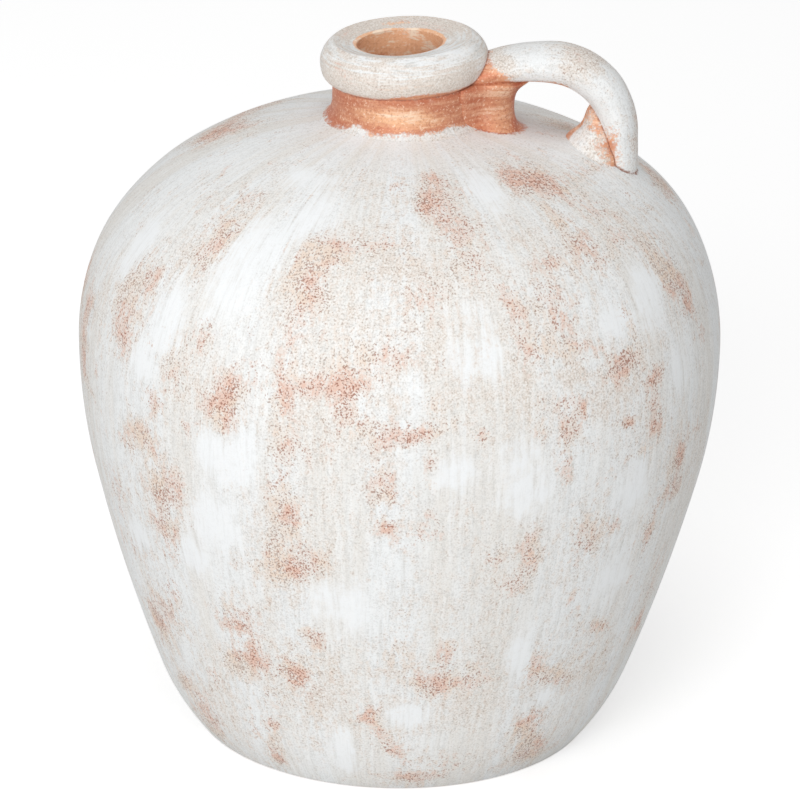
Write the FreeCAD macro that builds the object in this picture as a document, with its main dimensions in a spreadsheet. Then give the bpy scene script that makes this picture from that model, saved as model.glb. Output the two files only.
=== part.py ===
import FreeCAD, Part
import math
import os
import Sketcher
from enum import IntEnum
from FreeCAD import Placement, Rotation, Vector

# A squat one-handled jug with a narrow mouth, built up in sections as a potter makes it: a
# base slab, two thrown halves of the body, a collar, a heavy rim, and a pulled strap handle
# that is luted to the neck and to the shoulder.
# Millimetres and degrees. The origin is on the jug's axis at the floor, +Z points up and the
# handle stands towards +X, turned a few degrees about the axis.

# Every size that can be set by itself: its name, its value and what it measures.
SIZES = (
    ("belly_radius", 140.0, "outside of the body at its widest line"),
    ("belly_height", 178.0, "the widest line above the floor"),
    ("foot_radius", 88.0, "outside of the body where it meets the floor"),
    ("shoulder_rise", 98.0, "from the widest line up to the hole for the neck"),
    ("wall", 8.0, "thickness of the thrown wall, the same all the way up"),
    ("base_thickness", 10.0, "top of the base slab above the floor"),
    ("foot_ring", 9.0, "width of the ring that stands on the floor"),
    ("base_recess", 2.0, "how far the underside is hollowed inside the ring"),
    ("tongue_height", 3.0, "ridge on the lower half that keys into the upper half"),
    ("neck_radius", 31.0, "outside of the neck"),
    ("bore_radius", 18.5, "mouth and neck, clear all the way through"),
    ("neck_flare", 4.0, "how far the neck's foot spreads on the shoulder"),
    ("flare_rise", 9.0, "height of that spread"),
    ("neck_height", 18.5, "from the shoulder hole up to the rim's seat"),
    ("rim_radius", 36.5, "outside of the rim at its fullest"),
    ("rim_height", 18.5, "rim's seat to its top ridge"),
    ("rim_dip", 2.0, "inner edge of the rim below the ridge"),
    ("rim_round", 4.5, "rounding from the rim's top into the mouth"),
    ("rim_tilt", 3.5, "the rim leans, its handle side up, in degrees"),
    ("handle_turn", 4.0, "the handle's turn about the jug's axis, in degrees"),
    ("handle_reach", 92.0, "middle of the strap at its elbow, out from the axis"),
    ("handle_rise", 28.3, "middle of the strap's arch above the shoulder hole"),
    ("arch_drop", 6.97, "middle of the strap at the neck, below its arch"),
    ("bend_radius", 30.0, "bend of the strap from the arch into the drop"),
    ("drop_lean", 2.5, "how far the drop leans out from the elbow to the shoulder"),
    ("strap_width", 27.0, "strap across, at the neck"),
    ("strap_thickness", 16.5, "strap through, at the neck"),
    ("drop_width", 20.5, "strap across, at the shoulder"),
    ("drop_thickness", 15.5, "strap through, at the shoulder"),
    ("web_reach", 47.5, "outer face of the clay web below the strap's root"),
    ("web_width", 22.0, "that web across"),
    ("pad_length", 29.5, "clay pad at the strap's foot, out from the axis"),
    ("pad_width", 27.0, "that pad across"),
    ("pad_climb", 12.0, "how far the pad climbs the strap above its elbow"),
    ("heel_out_share", 0.33, "end of the heel's arc, of the way from foot to belly radius"),
    ("heel_up_share", 0.165, "the same, of the belly's height"),
    ("flank_out_share", 0.865, "end of the flank's arc, of the way from foot to belly radius"),
    ("flank_up_share", 0.67, "the same, of the belly's height"),
    ("shoulder_out_share", 0.928, "end of the shoulder's arc, of the way from hole to belly"),
    ("shoulder_up_share", 0.39, "the same, of the shoulder's rise"),
    ("crown_out_share", 0.627, "end of the crown's arc, of the way from hole to belly"),
    ("crown_up_share", 0.77, "the same, of the shoulder's rise"),
    ("tongue_share", 0.5, "ridge's width, of the wall"),
    ("plug_share", 0.85, "how deep the collar fills the shoulder hole, of the wall"),
    ("full_share", 0.46, "height of the rim's fullest line, of the rim"),
    ("ridge_share", 0.82, "radius of the rim's top ridge, of the rim's fullest"),
    ("pad_top_share", 0.64, "pad's section at its top, of its foot"),
)

# Sums of those sizes that several pieces share.
HOLE_RADIUS = "(sizes.neck_radius + sizes.neck_flare)"
HOLE_HEIGHT = "(sizes.belly_height + sizes.shoulder_rise)"
SEAT_HEIGHT = f"({HOLE_HEIGHT} + sizes.neck_height)"
ARCH_HEIGHT = f"({HOLE_HEIGHT} + sizes.handle_rise)"
NECK_MIDDLE = "((sizes.neck_radius + sizes.bore_radius) / 2)"
# The handle's lower end is drawn down to here, below the shoulder that it is fitted to.
ROOT_HEIGHT = "(sizes.belly_height + sizes.shoulder_rise * sizes.crown_up_share - sizes.wall)"
# How far the strap has thinned at each of its sections, from the neck to the shoulder.
TAPER_SHARES = (0.0, 0.2, 0.4, 0.5, 0.6, 0.7, 1.0)
# Cuts run this far past what they cut.
OVERRUN = "sizes.wall"

NORMAL = Vector(0, 0, 1)


class Spot(IntEnum):
    """Sketcher's numbers for the places on a line or an arc."""

    START = 1
    END = 2
    CENTRE = 3


class Axis(IntEnum):
    """Sketcher's numbers for a sketch's own two axes."""

    FLOOR = -1
    TURN = -2


ORIGIN = (Axis.FLOOR, Spot.START)

doc = FreeCAD.newDocument("jug")
sizes = doc.addObject("Spreadsheet::Sheet", "sizes")
for row, (size_name, size_value, meaning) in enumerate(SIZES, start=1):
    sizes.set(f"A{row}", size_name)
    sizes.set(f"B{row}", str(size_value))
    sizes.setAlias(f"B{row}", size_name)
    sizes.set(f"C{row}", meaning)
doc.recompute()


def value(expression):
    """Return what an expression in the sheet's names comes to."""
    return float(sizes.evalExpression(expression))


def between(inner, outer, share):
    """Return the expression for a place at a share of the way from inner to outer."""
    return f"({inner} + ({outer} - {inner}) * {share})"


def bind(sketch, kind, places, expression):
    """Add a driving dimension whose value follows an expression."""
    index = sketch.addConstraint(Sketcher.Constraint(kind, *places, value(expression)))
    sketch.setExpression(f"Constraints[{index}]", expression)


def place(sketch, geometry, point, across, up):
    """Hold a point of a sketch at two expressions; zero is a place on the sketch's axis."""
    ways = (("DistanceX", Axis.TURN, across), ("DistanceY", Axis.FLOOR, up))
    for kind, axis, expression in ways:
        if expression == "0":
            sketch.addConstraint(Sketcher.Constraint("PointOnObject", geometry, point, axis))
        else:
            bind(sketch, kind, (*ORIGIN, geometry, point), expression)


def join(sketch, geometry, point, other, other_point, kind="Coincident"):
    """Join two ends, plainly or (kind Tangent) smoothly."""
    sketch.addConstraint(Sketcher.Constraint(kind, geometry, point, other, other_point))


def add_line(sketch, start, end):
    """Draw a straight line between two vectors."""
    return sketch.addGeometry(Part.LineSegment(start, end), False)


def add_arc(sketch, centre, start, end):
    """Draw an arc anticlockwise about a centre, from start to end."""
    circle = Part.Circle(centre, NORMAL, centre.distanceToPoint(start))
    angles = (math.atan2(point.y - centre.y, point.x - centre.x) for point in (start, end))
    return sketch.addGeometry(Part.ArcOfCircle(circle, *angles), False)


def add_chain(sketch, corners, closed=False):
    """Draw straight lines through corners given as pairs of expressions, each one held."""
    spots = [Vector(value(across), value(up), 0) for across, up in corners]
    following_spots = spots[1:] + spots[:1] if closed else spots[1:]
    lines = [add_line(sketch, *ends) for ends in zip(spots, following_spots)]
    for line, following in zip(lines, lines[1:]):
        join(sketch, line, Spot.END, following, Spot.START)
    for line, corner in zip(lines, corners):
        place(sketch, line, Spot.START, *corner)
    if closed:
        join(sketch, lines[-1], Spot.END, lines[0], Spot.START)
    else:
        place(sketch, lines[-1], Spot.END, *corners[-1])
    return lines


def new_body(name):
    """Start a body for one form."""
    return doc.addObject("PartDesign::Body", name)


def new_sketch(body, name, role, offset=None):
    """Start a sketch on one of the body's own origin planes, moved off it by an expression."""
    sketch = body.newObject("Sketcher::SketchObject", name)
    plane = next(item for item in body.Origin.OriginFeatures if item.Role == role)
    sketch.AttachmentSupport = [(plane, "")]
    sketch.MapMode = "FlatFace"
    if offset:
        sketch.setExpression("AttachmentOffset.Base.z", offset)
    return sketch


def revolve(body, sketch):
    """Turn a sketch all the way about the body's upright axis."""
    turned = body.newObject("PartDesign::Revolution", f"{body.Name}_turned")
    turned.Profile = sketch
    turned.ReferenceAxis = (sketch, ["V_Axis"])
    turned.Angle = 360.0
    doc.recompute()


# The body's outline, from the foot up to the neck: each station joins two tangent arcs.
FOOT = ("sizes.foot_radius", "0")
BELLY = ("sizes.belly_radius", "sizes.belly_height")
HOLE = (HOLE_RADIUS, HOLE_HEIGHT)
STATIONS = (
    FOOT,
    (between("sizes.foot_radius", BELLY[0], "sizes.heel_out_share"),
     "(sizes.belly_height * sizes.heel_up_share)"),
    (between("sizes.foot_radius", BELLY[0], "sizes.flank_out_share"),
     "(sizes.belly_height * sizes.flank_up_share)"),
    BELLY,
    (between(HOLE_RADIUS, BELLY[0], "sizes.shoulder_out_share"),
     "(sizes.belly_height + sizes.shoulder_rise * sizes.shoulder_up_share)"),
    (between(HOLE_RADIUS, BELLY[0], "sizes.crown_out_share"),
     "(sizes.belly_height + sizes.shoulder_rise * sizes.crown_up_share)"),
    HOLE,
)


def arc_centres(points):
    """Return the centres of tangent arcs through points, the first one leaving upright."""
    centres = []
    outward = Vector(1, 0, 0)
    for start, end in zip(points, points[1:]):
        chord = end - start
        radius = -chord.dot(chord) / (2 * chord.dot(outward))
        centre = start - outward * radius
        outward = (end - centre) / radius
        centres.append(centre)
    return centres


def draw_outline(sketch):
    """Draw the body's outside as a chain of tangent arcs, its two ends free, from the foot up."""
    points = [Vector(value(across), value(up), 0) for across, up in STATIONS]
    widest = STATIONS.index(BELLY)
    below = arc_centres(points[widest::-1])[::-1]
    above = arc_centres(points[widest:])
    ends = zip(below + above, points, points[1:])
    arcs = [add_arc(sketch, centre, start, end) for centre, start, end in ends]
    for arc, following in zip(arcs, arcs[1:]):
        join(sketch, arc, Spot.END, following, Spot.START, "Tangent")
    for arc, station in list(zip(arcs, STATIONS))[1:]:
        place(sketch, arc, Spot.START, *station)
    bind(sketch, "DistanceY", (*ORIGIN, arcs[widest], Spot.CENTRE), BELLY[1])
    return arcs


def draw_inside(sketch, outline):
    """Draw the wall's inside, one wall within the outline, from the base up to the hole."""
    inside = []
    wall = value("sizes.wall")
    for arc in outline:
        outer = sketch.Geometry[arc]
        circle = Part.Circle(outer.Center, NORMAL, outer.Radius - wall)
        inner = Part.ArcOfCircle(circle, outer.FirstParameter, outer.LastParameter)
        inside.append(sketch.addGeometry(inner, False))
        join(sketch, inside[-1], Spot.CENTRE, arc, Spot.CENTRE)
    for arc, following in zip(inside, inside[1:]):
        join(sketch, arc, Spot.END, following, Spot.START, "Tangent")
    widest = STATIONS.index(BELLY)
    bind(sketch, "DistanceX", (inside[widest], Spot.START, outline[widest], Spot.START), "sizes.wall")
    bind(sketch, "DistanceY", (*ORIGIN, inside[0], Spot.START), "sizes.base_thickness")
    bind(sketch, "DistanceX", (*ORIGIN, inside[-1], Spot.END), HOLE_RADIUS)
    return inside


def make_outer_form():
    """The body's outside as one solid, which the handle's pieces are fitted to."""
    body = new_body("outer_form")
    sketch = new_sketch(body, "outer_outline", "XZ_Plane")
    outline = draw_outline(sketch)
    lid = add_chain(sketch, (HOLE, ("0", HOLE_HEIGHT), ("0", "0"), FOOT))
    join(sketch, outline[-1], Spot.END, lid[0], Spot.START)
    join(sketch, lid[-1], Spot.END, outline[0], Spot.START)
    revolve(body, sketch)
    return body


def make_clay_wall():
    """Base and wall as one hollow form, before the seams part it."""
    body = new_body("clay_wall")
    sketch = new_sketch(body, "wall_profile", "XZ_Plane")
    outline = draw_outline(sketch)
    inside = draw_inside(sketch, outline)
    ring = "(sizes.foot_radius - sizes.foot_ring)"
    corners = (FOOT, (ring, "0"), (ring, "sizes.base_recess"), ("0", "sizes.base_recess"),
               ("0", "sizes.base_thickness"))
    underside = add_chain(sketch, corners)
    floor = add_line(sketch, Vector(0, value("sizes.base_thickness"), 0),
                     sketch.Geometry[inside[0]].StartPoint)
    edge = add_line(sketch, sketch.Geometry[inside[-1]].EndPoint,
                    sketch.Geometry[outline[-1]].EndPoint)
    join(sketch, underside[0], Spot.START, outline[0], Spot.START)
    join(sketch, underside[-1], Spot.END, floor, Spot.START)
    join(sketch, floor, Spot.END, inside[0], Spot.START)
    join(sketch, inside[-1], Spot.END, edge, Spot.START)
    join(sketch, edge, Spot.END, outline[-1], Spot.END)
    place(sketch, outline[-1], Spot.END, *HOLE)
    revolve(body, sketch)
    return body


def make_upper_space():
    """All the space above the belly's seam, hollowed underneath to fit the keying ridge."""
    body = new_body("upper_space")
    sketch = new_sketch(body, "seam_profile", "XZ_Plane")
    middle = "sizes.belly_radius - sizes.wall / 2"
    half_ridge = "sizes.wall * sizes.tongue_share / 2"
    seam, top = "sizes.belly_height", f"{HOLE_HEIGHT} + {OVERRUN}"
    crest = "sizes.belly_height + sizes.tongue_height"
    outside = f"sizes.belly_radius + {OVERRUN}"
    corners = (("0", seam), (f"{middle} - {half_ridge}", seam), (middle, crest),
               (f"{middle} + {half_ridge}", seam), (outside, seam), (outside, top), ("0", top))
    add_chain(sketch, corners, closed=True)
    revolve(body, sketch)
    return body


def make_slab_space():
    """The space below the base slab's top face."""
    space = doc.addObject("Part::Cylinder", "slab_space")
    space.setExpression("Radius", "sizes.belly_radius")
    space.setExpression("Height", "sizes.base_thickness")
    return space


def boolean(kind, name, base, tool):
    """Add a Part boolean of two objects."""
    result = doc.addObject(f"Part::{kind}", name)
    result.Base = base
    result.Tool = tool
    return result


def common(name, base, tool):
    """Add what two objects share."""
    return boolean("Common", name, base, tool)


def cut(name, base, *tools):
    """Add what is left of an object once each tool is taken away."""
    for number, tool in enumerate(tools, start=1):
        last = number == len(tools)
        base = boolean("Cut", name if last else f"{name}_cut_{number}", base, tool)
    return base


def seat_on_neck(item):
    """Put an object on the neck's tilted top, where the rim sits."""
    item.Placement.Rotation = Rotation(Vector(0, -1, 0), value("sizes.rim_tilt"))
    item.setExpression("Placement.Rotation.Angle", "sizes.rim_tilt")
    item.setExpression("Placement.Base.z", SEAT_HEIGHT)


def make_rim_space():
    """The space above the neck's tilted top, which trims the collar."""
    space = doc.addObject("Part::Cylinder", "rim_space")
    space.setExpression("Radius", "sizes.rim_radius")
    space.setExpression("Height", "sizes.rim_height")
    seat_on_neck(space)
    return space


def make_collar_form():
    """The neck's collar with its spreading foot and the plug that fills the shoulder hole."""
    body = new_body("collar_form")
    sketch = new_sketch(body, "collar_profile", "XZ_Plane")
    neck, bore = "sizes.neck_radius", "sizes.bore_radius"
    plug = f"({HOLE_HEIGHT} - sizes.wall * sizes.plug_share)"
    top = f"({SEAT_HEIGHT} + sizes.rim_height / 2)"
    flare_top = f"({HOLE_HEIGHT} + sizes.flare_rise)"
    chain = add_chain(sketch, ((neck, flare_top), (neck, top), (bore, top), (bore, plug),
                               (HOLE_RADIUS, plug), HOLE))
    out, rise = value("sizes.neck_flare"), value("sizes.flare_rise")
    radius = (out * out + rise * rise) / (2 * out)
    start = Vector(value(neck), value(flare_top), 0)
    foot = Vector(value(HOLE_RADIUS), value(HOLE_HEIGHT), 0)
    flare = add_arc(sketch, start + Vector(radius, 0, 0), start, foot)
    join(sketch, flare, Spot.START, chain[0], Spot.START, "Tangent")
    join(sketch, flare, Spot.END, chain[-1], Spot.END)
    revolve(body, sketch)
    return body


def make_rim_form():
    """The heavy rolled rim, drawn about its own axis with its seat at the bottom."""
    body = new_body("rim_form")
    sketch = new_sketch(body, "rim_profile", "XZ_Plane")
    hidden = "(sizes.bore_radius - sizes.rim_round / 2)"
    lip = f"({hidden} + sizes.rim_round)"
    lip_top = "(sizes.rim_height - sizes.rim_dip)"
    ridge = ("(sizes.rim_radius * sizes.ridge_share)", "sizes.rim_height")
    full = ("sizes.rim_radius", "(sizes.rim_height * sizes.full_share)")
    seat = ("sizes.neck_radius", "0")
    spots = [Vector(value(across), value(up), 0) for across, up in (seat, full, ridge)]
    under, over = arc_centres(spots[1::-1])[0], arc_centres(spots[1:])[0]
    lower = add_arc(sketch, under, spots[0], spots[1])
    upper = add_arc(sketch, over, spots[1], spots[2])
    join(sketch, lower, Spot.END, upper, Spot.START, "Tangent")
    place(sketch, upper, Spot.START, *full)
    bind(sketch, "DistanceY", (*ORIGIN, upper, Spot.CENTRE), full[1])
    top_face = add_chain(sketch, (ridge, (lip, lip_top)))[0]
    inside = add_chain(sketch, ((hidden, f"({lip_top} - sizes.rim_round)"), (hidden, "0"), seat))
    edge = Vector(value(lip), value(lip_top), 0)
    centre = edge - Vector(0, value("sizes.rim_round"), 0)
    rounding = add_arc(sketch, centre, edge, centre - Vector(value("sizes.rim_round"), 0, 0))
    join(sketch, upper, Spot.END, top_face, Spot.START)
    join(sketch, top_face, Spot.END, rounding, Spot.START)
    join(sketch, rounding, Spot.END, inside[0], Spot.START, "Tangent")
    join(sketch, inside[-1], Spot.END, lower, Spot.START)
    revolve(body, sketch)
    seat_on_neck(body)
    return body


def make_mouth_bore():
    """The straight bore through rim and neck."""
    bore = doc.addObject("Part::Cylinder", "mouth_bore")
    bore.setExpression("Radius", "sizes.bore_radius")
    bore.setExpression("Height", "sizes.neck_height + sizes.rim_height + 2 * sizes.wall")
    bore.setExpression("Placement.Base.z", f"{HOLE_HEIGHT} - {OVERRUN}")
    return bore


def add_ellipse(sketch, middle, widths):
    """Draw an ellipse about a middle, its widths given across and up, all as expressions."""
    centre = Vector(value(middle[0]), value(middle[1]), 0)
    half_across, half_up = (value(width) / 2 for width in widths)
    along, beside = Vector(half_across, 0, 0), Vector(0, half_up, 0)
    if half_up > half_across:
        along, beside = beside, -along
    ellipse = sketch.addGeometry(Part.Ellipse(centre + along, centre + beside, centre), False)
    sketch.exposeInternalGeometry(ellipse)
    major, minor = ellipse + 1, ellipse + 2
    longer, shorter = sorted(widths, key=value, reverse=True)
    bind(sketch, "Distance", (major,), longer)
    bind(sketch, "Distance", (minor,), shorter)
    level = "Horizontal" if half_across >= half_up else "Vertical"
    sketch.addConstraint(Sketcher.Constraint(level, major))
    place(sketch, ellipse, Spot.CENTRE, *middle)
    return ellipse


def turn_handle(item):
    """Turn one of the handle's forms about the jug's axis."""
    item.Placement.Rotation = Rotation(Vector(0, 0, -1), value("sizes.handle_turn"))
    item.setExpression("Placement.Rotation.Angle", "sizes.handle_turn")


def place_on_strap(radius, turn):
    """Return where the strap's middle is after a turn on an arc that touches its crown."""
    out = f"(sizes.handle_reach - sizes.bend_radius + {radius} * sin({turn}))"
    return out, f"({ARCH_HEIGHT} - {radius} * (1 - cos({turn})))"


def make_strap_form():
    """The pulled strap, drawn out from inside the neck over its arch and into the shoulder."""
    body = new_body("strap_form")
    span = f"(sizes.handle_reach - sizes.bend_radius - {NECK_MIDDLE})"
    arch_radius = f"(({span} ^ 2 + sizes.arch_drop ^ 2) / (2 * sizes.arch_drop))"
    root = f"asin({span} / {arch_radius})"
    arch_turns = (f"(-{root})", f"(-{root} / 2)", "(0 deg)")
    bend_turns = ("(30 deg)", "(60 deg)", "(90 deg)")
    stations = [(place_on_strap(arch_radius, turn), turn) for turn in arch_turns]
    stations += [(place_on_strap("sizes.bend_radius", turn), turn) for turn in bend_turns]
    stations.append((("(sizes.handle_reach + sizes.drop_lean)", ROOT_HEIGHT), bend_turns[-1]))
    sections = []
    for number, (((out, up), turn), taper) in enumerate(zip(stations, TAPER_SHARES)):
        sketch = new_sketch(body, f"strap_section_{number}", "YZ_Plane")
        middle = Vector(0, value(up), value(out))
        sketch.AttachmentOffset = Placement(middle, Rotation(Vector(1, 0, 0), value(turn)))
        sketch.setExpression("AttachmentOffset.Base.y", up)
        sketch.setExpression("AttachmentOffset.Base.z", out)
        sketch.setExpression("AttachmentOffset.Rotation.Angle", turn)
        width = between("sizes.strap_width", "sizes.drop_width", taper)
        thickness = between("sizes.strap_thickness", "sizes.drop_thickness", taper)
        add_ellipse(sketch, ("0", "0"), (width, thickness))
        sections.append(sketch)
    doc.recompute()
    loft = body.newObject("PartDesign::AdditiveLoft", "strap_loft")
    loft.Profile = sections[0]
    loft.Sections = sections[1:]
    doc.recompute()
    turn_handle(body)
    return body


def make_web_form():
    """The web of clay that fills the corner between neck, shoulder and strap."""
    body = new_body("web_form")
    sketch = new_sketch(body, "web_plan", "XY_Plane", f"{HOLE_HEIGHT} - sizes.wall")
    half = "(sizes.web_width / 2)"
    tip = f"(sizes.web_reach - {half})"
    corners = [Vector(value(NECK_MIDDLE), value(half), 0), Vector(value(tip), value(half), 0),
               Vector(value(tip), -value(half), 0), Vector(value(NECK_MIDDLE), -value(half), 0)]
    far = add_line(sketch, corners[1], corners[0])
    inner = add_line(sketch, corners[0], corners[3])
    near = add_line(sketch, corners[3], corners[2])
    nose = add_arc(sketch, Vector(value(tip), 0, 0), corners[2], corners[1])
    join(sketch, far, Spot.END, inner, Spot.START)
    join(sketch, inner, Spot.END, near, Spot.START)
    join(sketch, near, Spot.END, nose, Spot.START, "Tangent")
    join(sketch, nose, Spot.END, far, Spot.START, "Tangent")
    for side in (near, far):
        sketch.addConstraint(Sketcher.Constraint("Horizontal", side))
    sketch.addConstraint(Sketcher.Constraint("Vertical", inner))
    place(sketch, nose, Spot.CENTRE, tip, "0")
    bind(sketch, "Radius", (nose,), half)
    bind(sketch, "DistanceX", (*ORIGIN, inner, Spot.START), NECK_MIDDLE)
    pad = body.newObject("PartDesign::Pad", "web_pad")
    pad.Profile = sketch
    pad.setExpression("Length", "sizes.handle_rise + sizes.wall - sizes.strap_thickness / 4")
    doc.recompute()
    turn_handle(body)
    return body


def make_pad_form():
    """The pad of clay pressed into the strap's foot, on the side of the neck."""
    body = new_body("pad_form")
    high = f"({ARCH_HEIGHT} - sizes.bend_radius + sizes.pad_climb)"
    sections = []
    for number, (level, share) in enumerate(((ROOT_HEIGHT, "1"), (high, "sizes.pad_top_share"))):
        sketch = new_sketch(body, f"pad_section_{number}", "XY_Plane", level)
        length, width = f"(sizes.pad_length * {share})", f"(sizes.pad_width * {share})"
        middle = f"(sizes.handle_reach + sizes.drop_thickness / 3 - {length} / 2)"
        add_ellipse(sketch, (middle, "0"), (length, width))
        sections.append(sketch)
    doc.recompute()
    loft = body.newObject("PartDesign::AdditiveLoft", "pad_loft")
    loft.Profile = sections[0]
    loft.Sections = sections[1:]
    doc.recompute()
    turn_handle(body)
    return body


outer_form = make_outer_form()
clay_wall = make_clay_wall()
upper_space = make_upper_space()
slab_space = make_slab_space()
rim_space = make_rim_space()
mouth_bore = make_mouth_bore()

base_slab = common("base_slab", clay_wall, slab_space)
lower_body = cut("lower_body", clay_wall, slab_space, upper_space)
upper_body = common("upper_body", clay_wall, upper_space)
neck_collar = cut("neck_collar", make_collar_form(), rim_space)
rim_ring = cut("rim_ring", make_rim_form(), mouth_bore)
handle_strap = cut("handle_strap", make_strap_form(), outer_form, neck_collar, rim_ring)
upper_luting = cut("upper_luting", make_web_form(), outer_form, neck_collar, rim_ring, handle_strap)
lower_luting = cut("lower_luting", make_pad_form(), outer_form, handle_strap)
PIECES = (base_slab, lower_body, upper_body, neck_collar, rim_ring, handle_strap, upper_luting,
          lower_luting)

doc.recompute()
for item in doc.Objects:
    if {"Invalid", "Error"} & set(item.State):
        raise RuntimeError(f"{item.Label} failed: {item.State}")
for piece in PIECES:
    piece.Label = piece.Name
    shape = piece.Shape
    if shape.isNull() or not shape.isValid():
        raise RuntimeError(f"{piece.Label} has no valid shape")
    if len(shape.Solids) != 1:
        raise RuntimeError(f"{piece.Label} is in {len(shape.Solids)} pieces")

os.makedirs("parts", exist_ok=True)
for piece in PIECES:
    piece.Shape.exportStep(f"parts/{piece.Label}.step")
    box = piece.Shape.BoundBox
    print(f"{piece.Label}: volume {piece.Shape.Volume:.0f}, z {box.ZMin:.1f} to {box.ZMax:.1f}")
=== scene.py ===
"""A squat whitewashed clay jug with a coppery neck and one strap handle.

Everything is in metres, in the CAD frame's own axes: the jug stands on the floor at the origin, its
neck points up +Z and its handle stands towards +X. Each piece is turned or drawn out at its size and
place, as a potter makes it, and is then coated with whitewash, coppery paint, or left bare."""

import logging
import math
import random
from collections.abc import Callable, Sequence
from dataclasses import dataclass, replace
from enum import Enum

import bmesh
import bpy
import numpy as np
from mathutils import Matrix, Vector
from mathutils.bvhtree import BVHTree


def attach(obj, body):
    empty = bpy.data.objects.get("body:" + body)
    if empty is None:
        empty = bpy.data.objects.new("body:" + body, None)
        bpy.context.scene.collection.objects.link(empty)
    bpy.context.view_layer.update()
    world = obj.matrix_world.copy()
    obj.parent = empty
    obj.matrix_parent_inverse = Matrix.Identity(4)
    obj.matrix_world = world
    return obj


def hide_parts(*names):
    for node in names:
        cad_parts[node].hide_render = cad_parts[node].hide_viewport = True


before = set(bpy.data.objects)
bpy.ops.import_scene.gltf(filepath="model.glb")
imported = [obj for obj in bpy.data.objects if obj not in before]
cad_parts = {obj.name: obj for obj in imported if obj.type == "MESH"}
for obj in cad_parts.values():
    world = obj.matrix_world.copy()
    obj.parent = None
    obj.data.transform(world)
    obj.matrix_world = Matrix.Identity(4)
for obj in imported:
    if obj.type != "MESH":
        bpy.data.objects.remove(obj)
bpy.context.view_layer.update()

log = logging.getLogger("jug")
MM = 0.001
DOT = 0.0001
CLOSE = 0.000002
SMOOTH_BELOW = math.radians(32)
FAR = 10.0
STROKE_SHARE = 0.10
RING_SHARE = 0.16
ROUND_LEVELS = 2
WIDEST_PATCH = 60.0
PATCH_FALL = 0.7
WHITE = (1.0, 1.0, 1.0, 1.0)

Spot = tuple[float, float]
Values = np.ndarray
Socket = bpy.types.NodeSocket
Feed = Socket | float | tuple[float, ...]


class Finish(Enum):
    """The record's material slots."""

    WHITEWASH = "whitewash"
    COPPER_WASH = "copper_wash"
    BARE_CLAY = "bare_clay"


# Working by hand


def start_fresh() -> None:
    """Deselect everything, so that an operator acts on the new piece alone."""
    if bpy.context.object and bpy.context.object.mode != "OBJECT":
        bpy.ops.object.mode_set(mode="OBJECT")
    bpy.ops.object.select_all(action="DESELECT")


def take_up(piece: bpy.types.Object) -> None:
    """Select one piece alone and make it the active one.

    Args:
        piece: the piece.
    """
    start_fresh()
    piece.select_set(True)
    bpy.context.view_layer.objects.active = piece


def open_new(name: str, mode: str) -> bpy.types.Object:
    """Name the primitive just added, open it in edit mode and select all of it.

    Args:
        name: the piece's name.
        mode: what is selected, VERT or FACE.
    Returns:
        The new piece.
    """
    piece = bpy.context.object
    piece.name = name
    piece.data.name = name
    bpy.ops.object.mode_set(mode="EDIT")
    bpy.ops.mesh.select_mode(type=mode)
    bpy.ops.mesh.select_all(action="SELECT")
    return piece


def pick(test: Callable[[Vector], bool]) -> None:
    """Select the vertices whose place passes a test on the mesh in edit mode.

    Args:
        test: says of a vertex's place whether it is picked.
    """
    mesh = bpy.context.object.data
    shape = bmesh.from_edit_mesh(mesh)
    for item in (*shape.faces, *shape.edges):
        item.select_set(False)
    for vertex in shape.verts:
        vertex.select_set(test(vertex.co))
    shape.select_flush(True)
    bmesh.update_edit_mesh(mesh)


def draw_chain(name: str, spots: Sequence[Spot], closed: bool) -> bpy.types.Object:
    """Draw a profile in the XZ plane, edge by edge, and stay in edit mode.

    Args:
        name: the piece's name.
        spots: (across, up) of each corner.
        closed: whether the last corner joins the first.
    Returns:
        The new object.
    """
    start_fresh()
    bpy.ops.mesh.primitive_plane_add(size=DOT, location=(0, 0, 0))
    piece = open_new(name, "VERT")
    bpy.ops.mesh.merge(type="CENTER")
    bpy.ops.transform.translate(value=(spots[0][0], 0, spots[0][1]))
    for before, after in zip(spots, spots[1:]):
        move = (after[0] - before[0], 0, after[1] - before[1])
        bpy.ops.mesh.extrude_vertices_move(TRANSFORM_OT_translate={"value": move})
    if closed:
        shape = bmesh.from_edit_mesh(piece.data)
        ends = [vertex for vertex in shape.verts if len(vertex.link_edges) == 1]
        for vertex in shape.verts:
            vertex.select_set(vertex in ends)
        bmesh.update_edit_mesh(piece.data)
        bpy.ops.mesh.edge_face_add()
    return piece


def turn_profile(name: str, spots: Sequence[Spot], steps: int, closed: bool = True) -> bpy.types.Object:
    """Turn a profile about the jug's axis, as on a wheel.

    Args:
        name: the piece's name.
        spots: (across, up) of each corner of the profile.
        steps: how many facets go round.
        closed: whether the profile is a loop that stays off the axis.
    Returns:
        The turned piece, in object mode.
    """
    piece = draw_chain(name, spots, closed)
    bpy.ops.mesh.select_all(action="SELECT")
    bpy.ops.mesh.spin(steps=steps, angle=math.tau, center=(0, 0, 0), axis=(0, 0, 1))
    bpy.ops.mesh.select_all(action="SELECT")
    bpy.ops.mesh.remove_doubles(threshold=CLOSE)
    bpy.ops.mesh.normals_make_consistent(inside=False)
    bpy.ops.object.mode_set(mode="OBJECT")
    return piece


@dataclass(frozen=True)
class Section:
    """An oval section of a drawn-out piece, all in metres and radians."""

    across: float
    up: float
    long: float
    wide: float
    tilt: float


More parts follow.
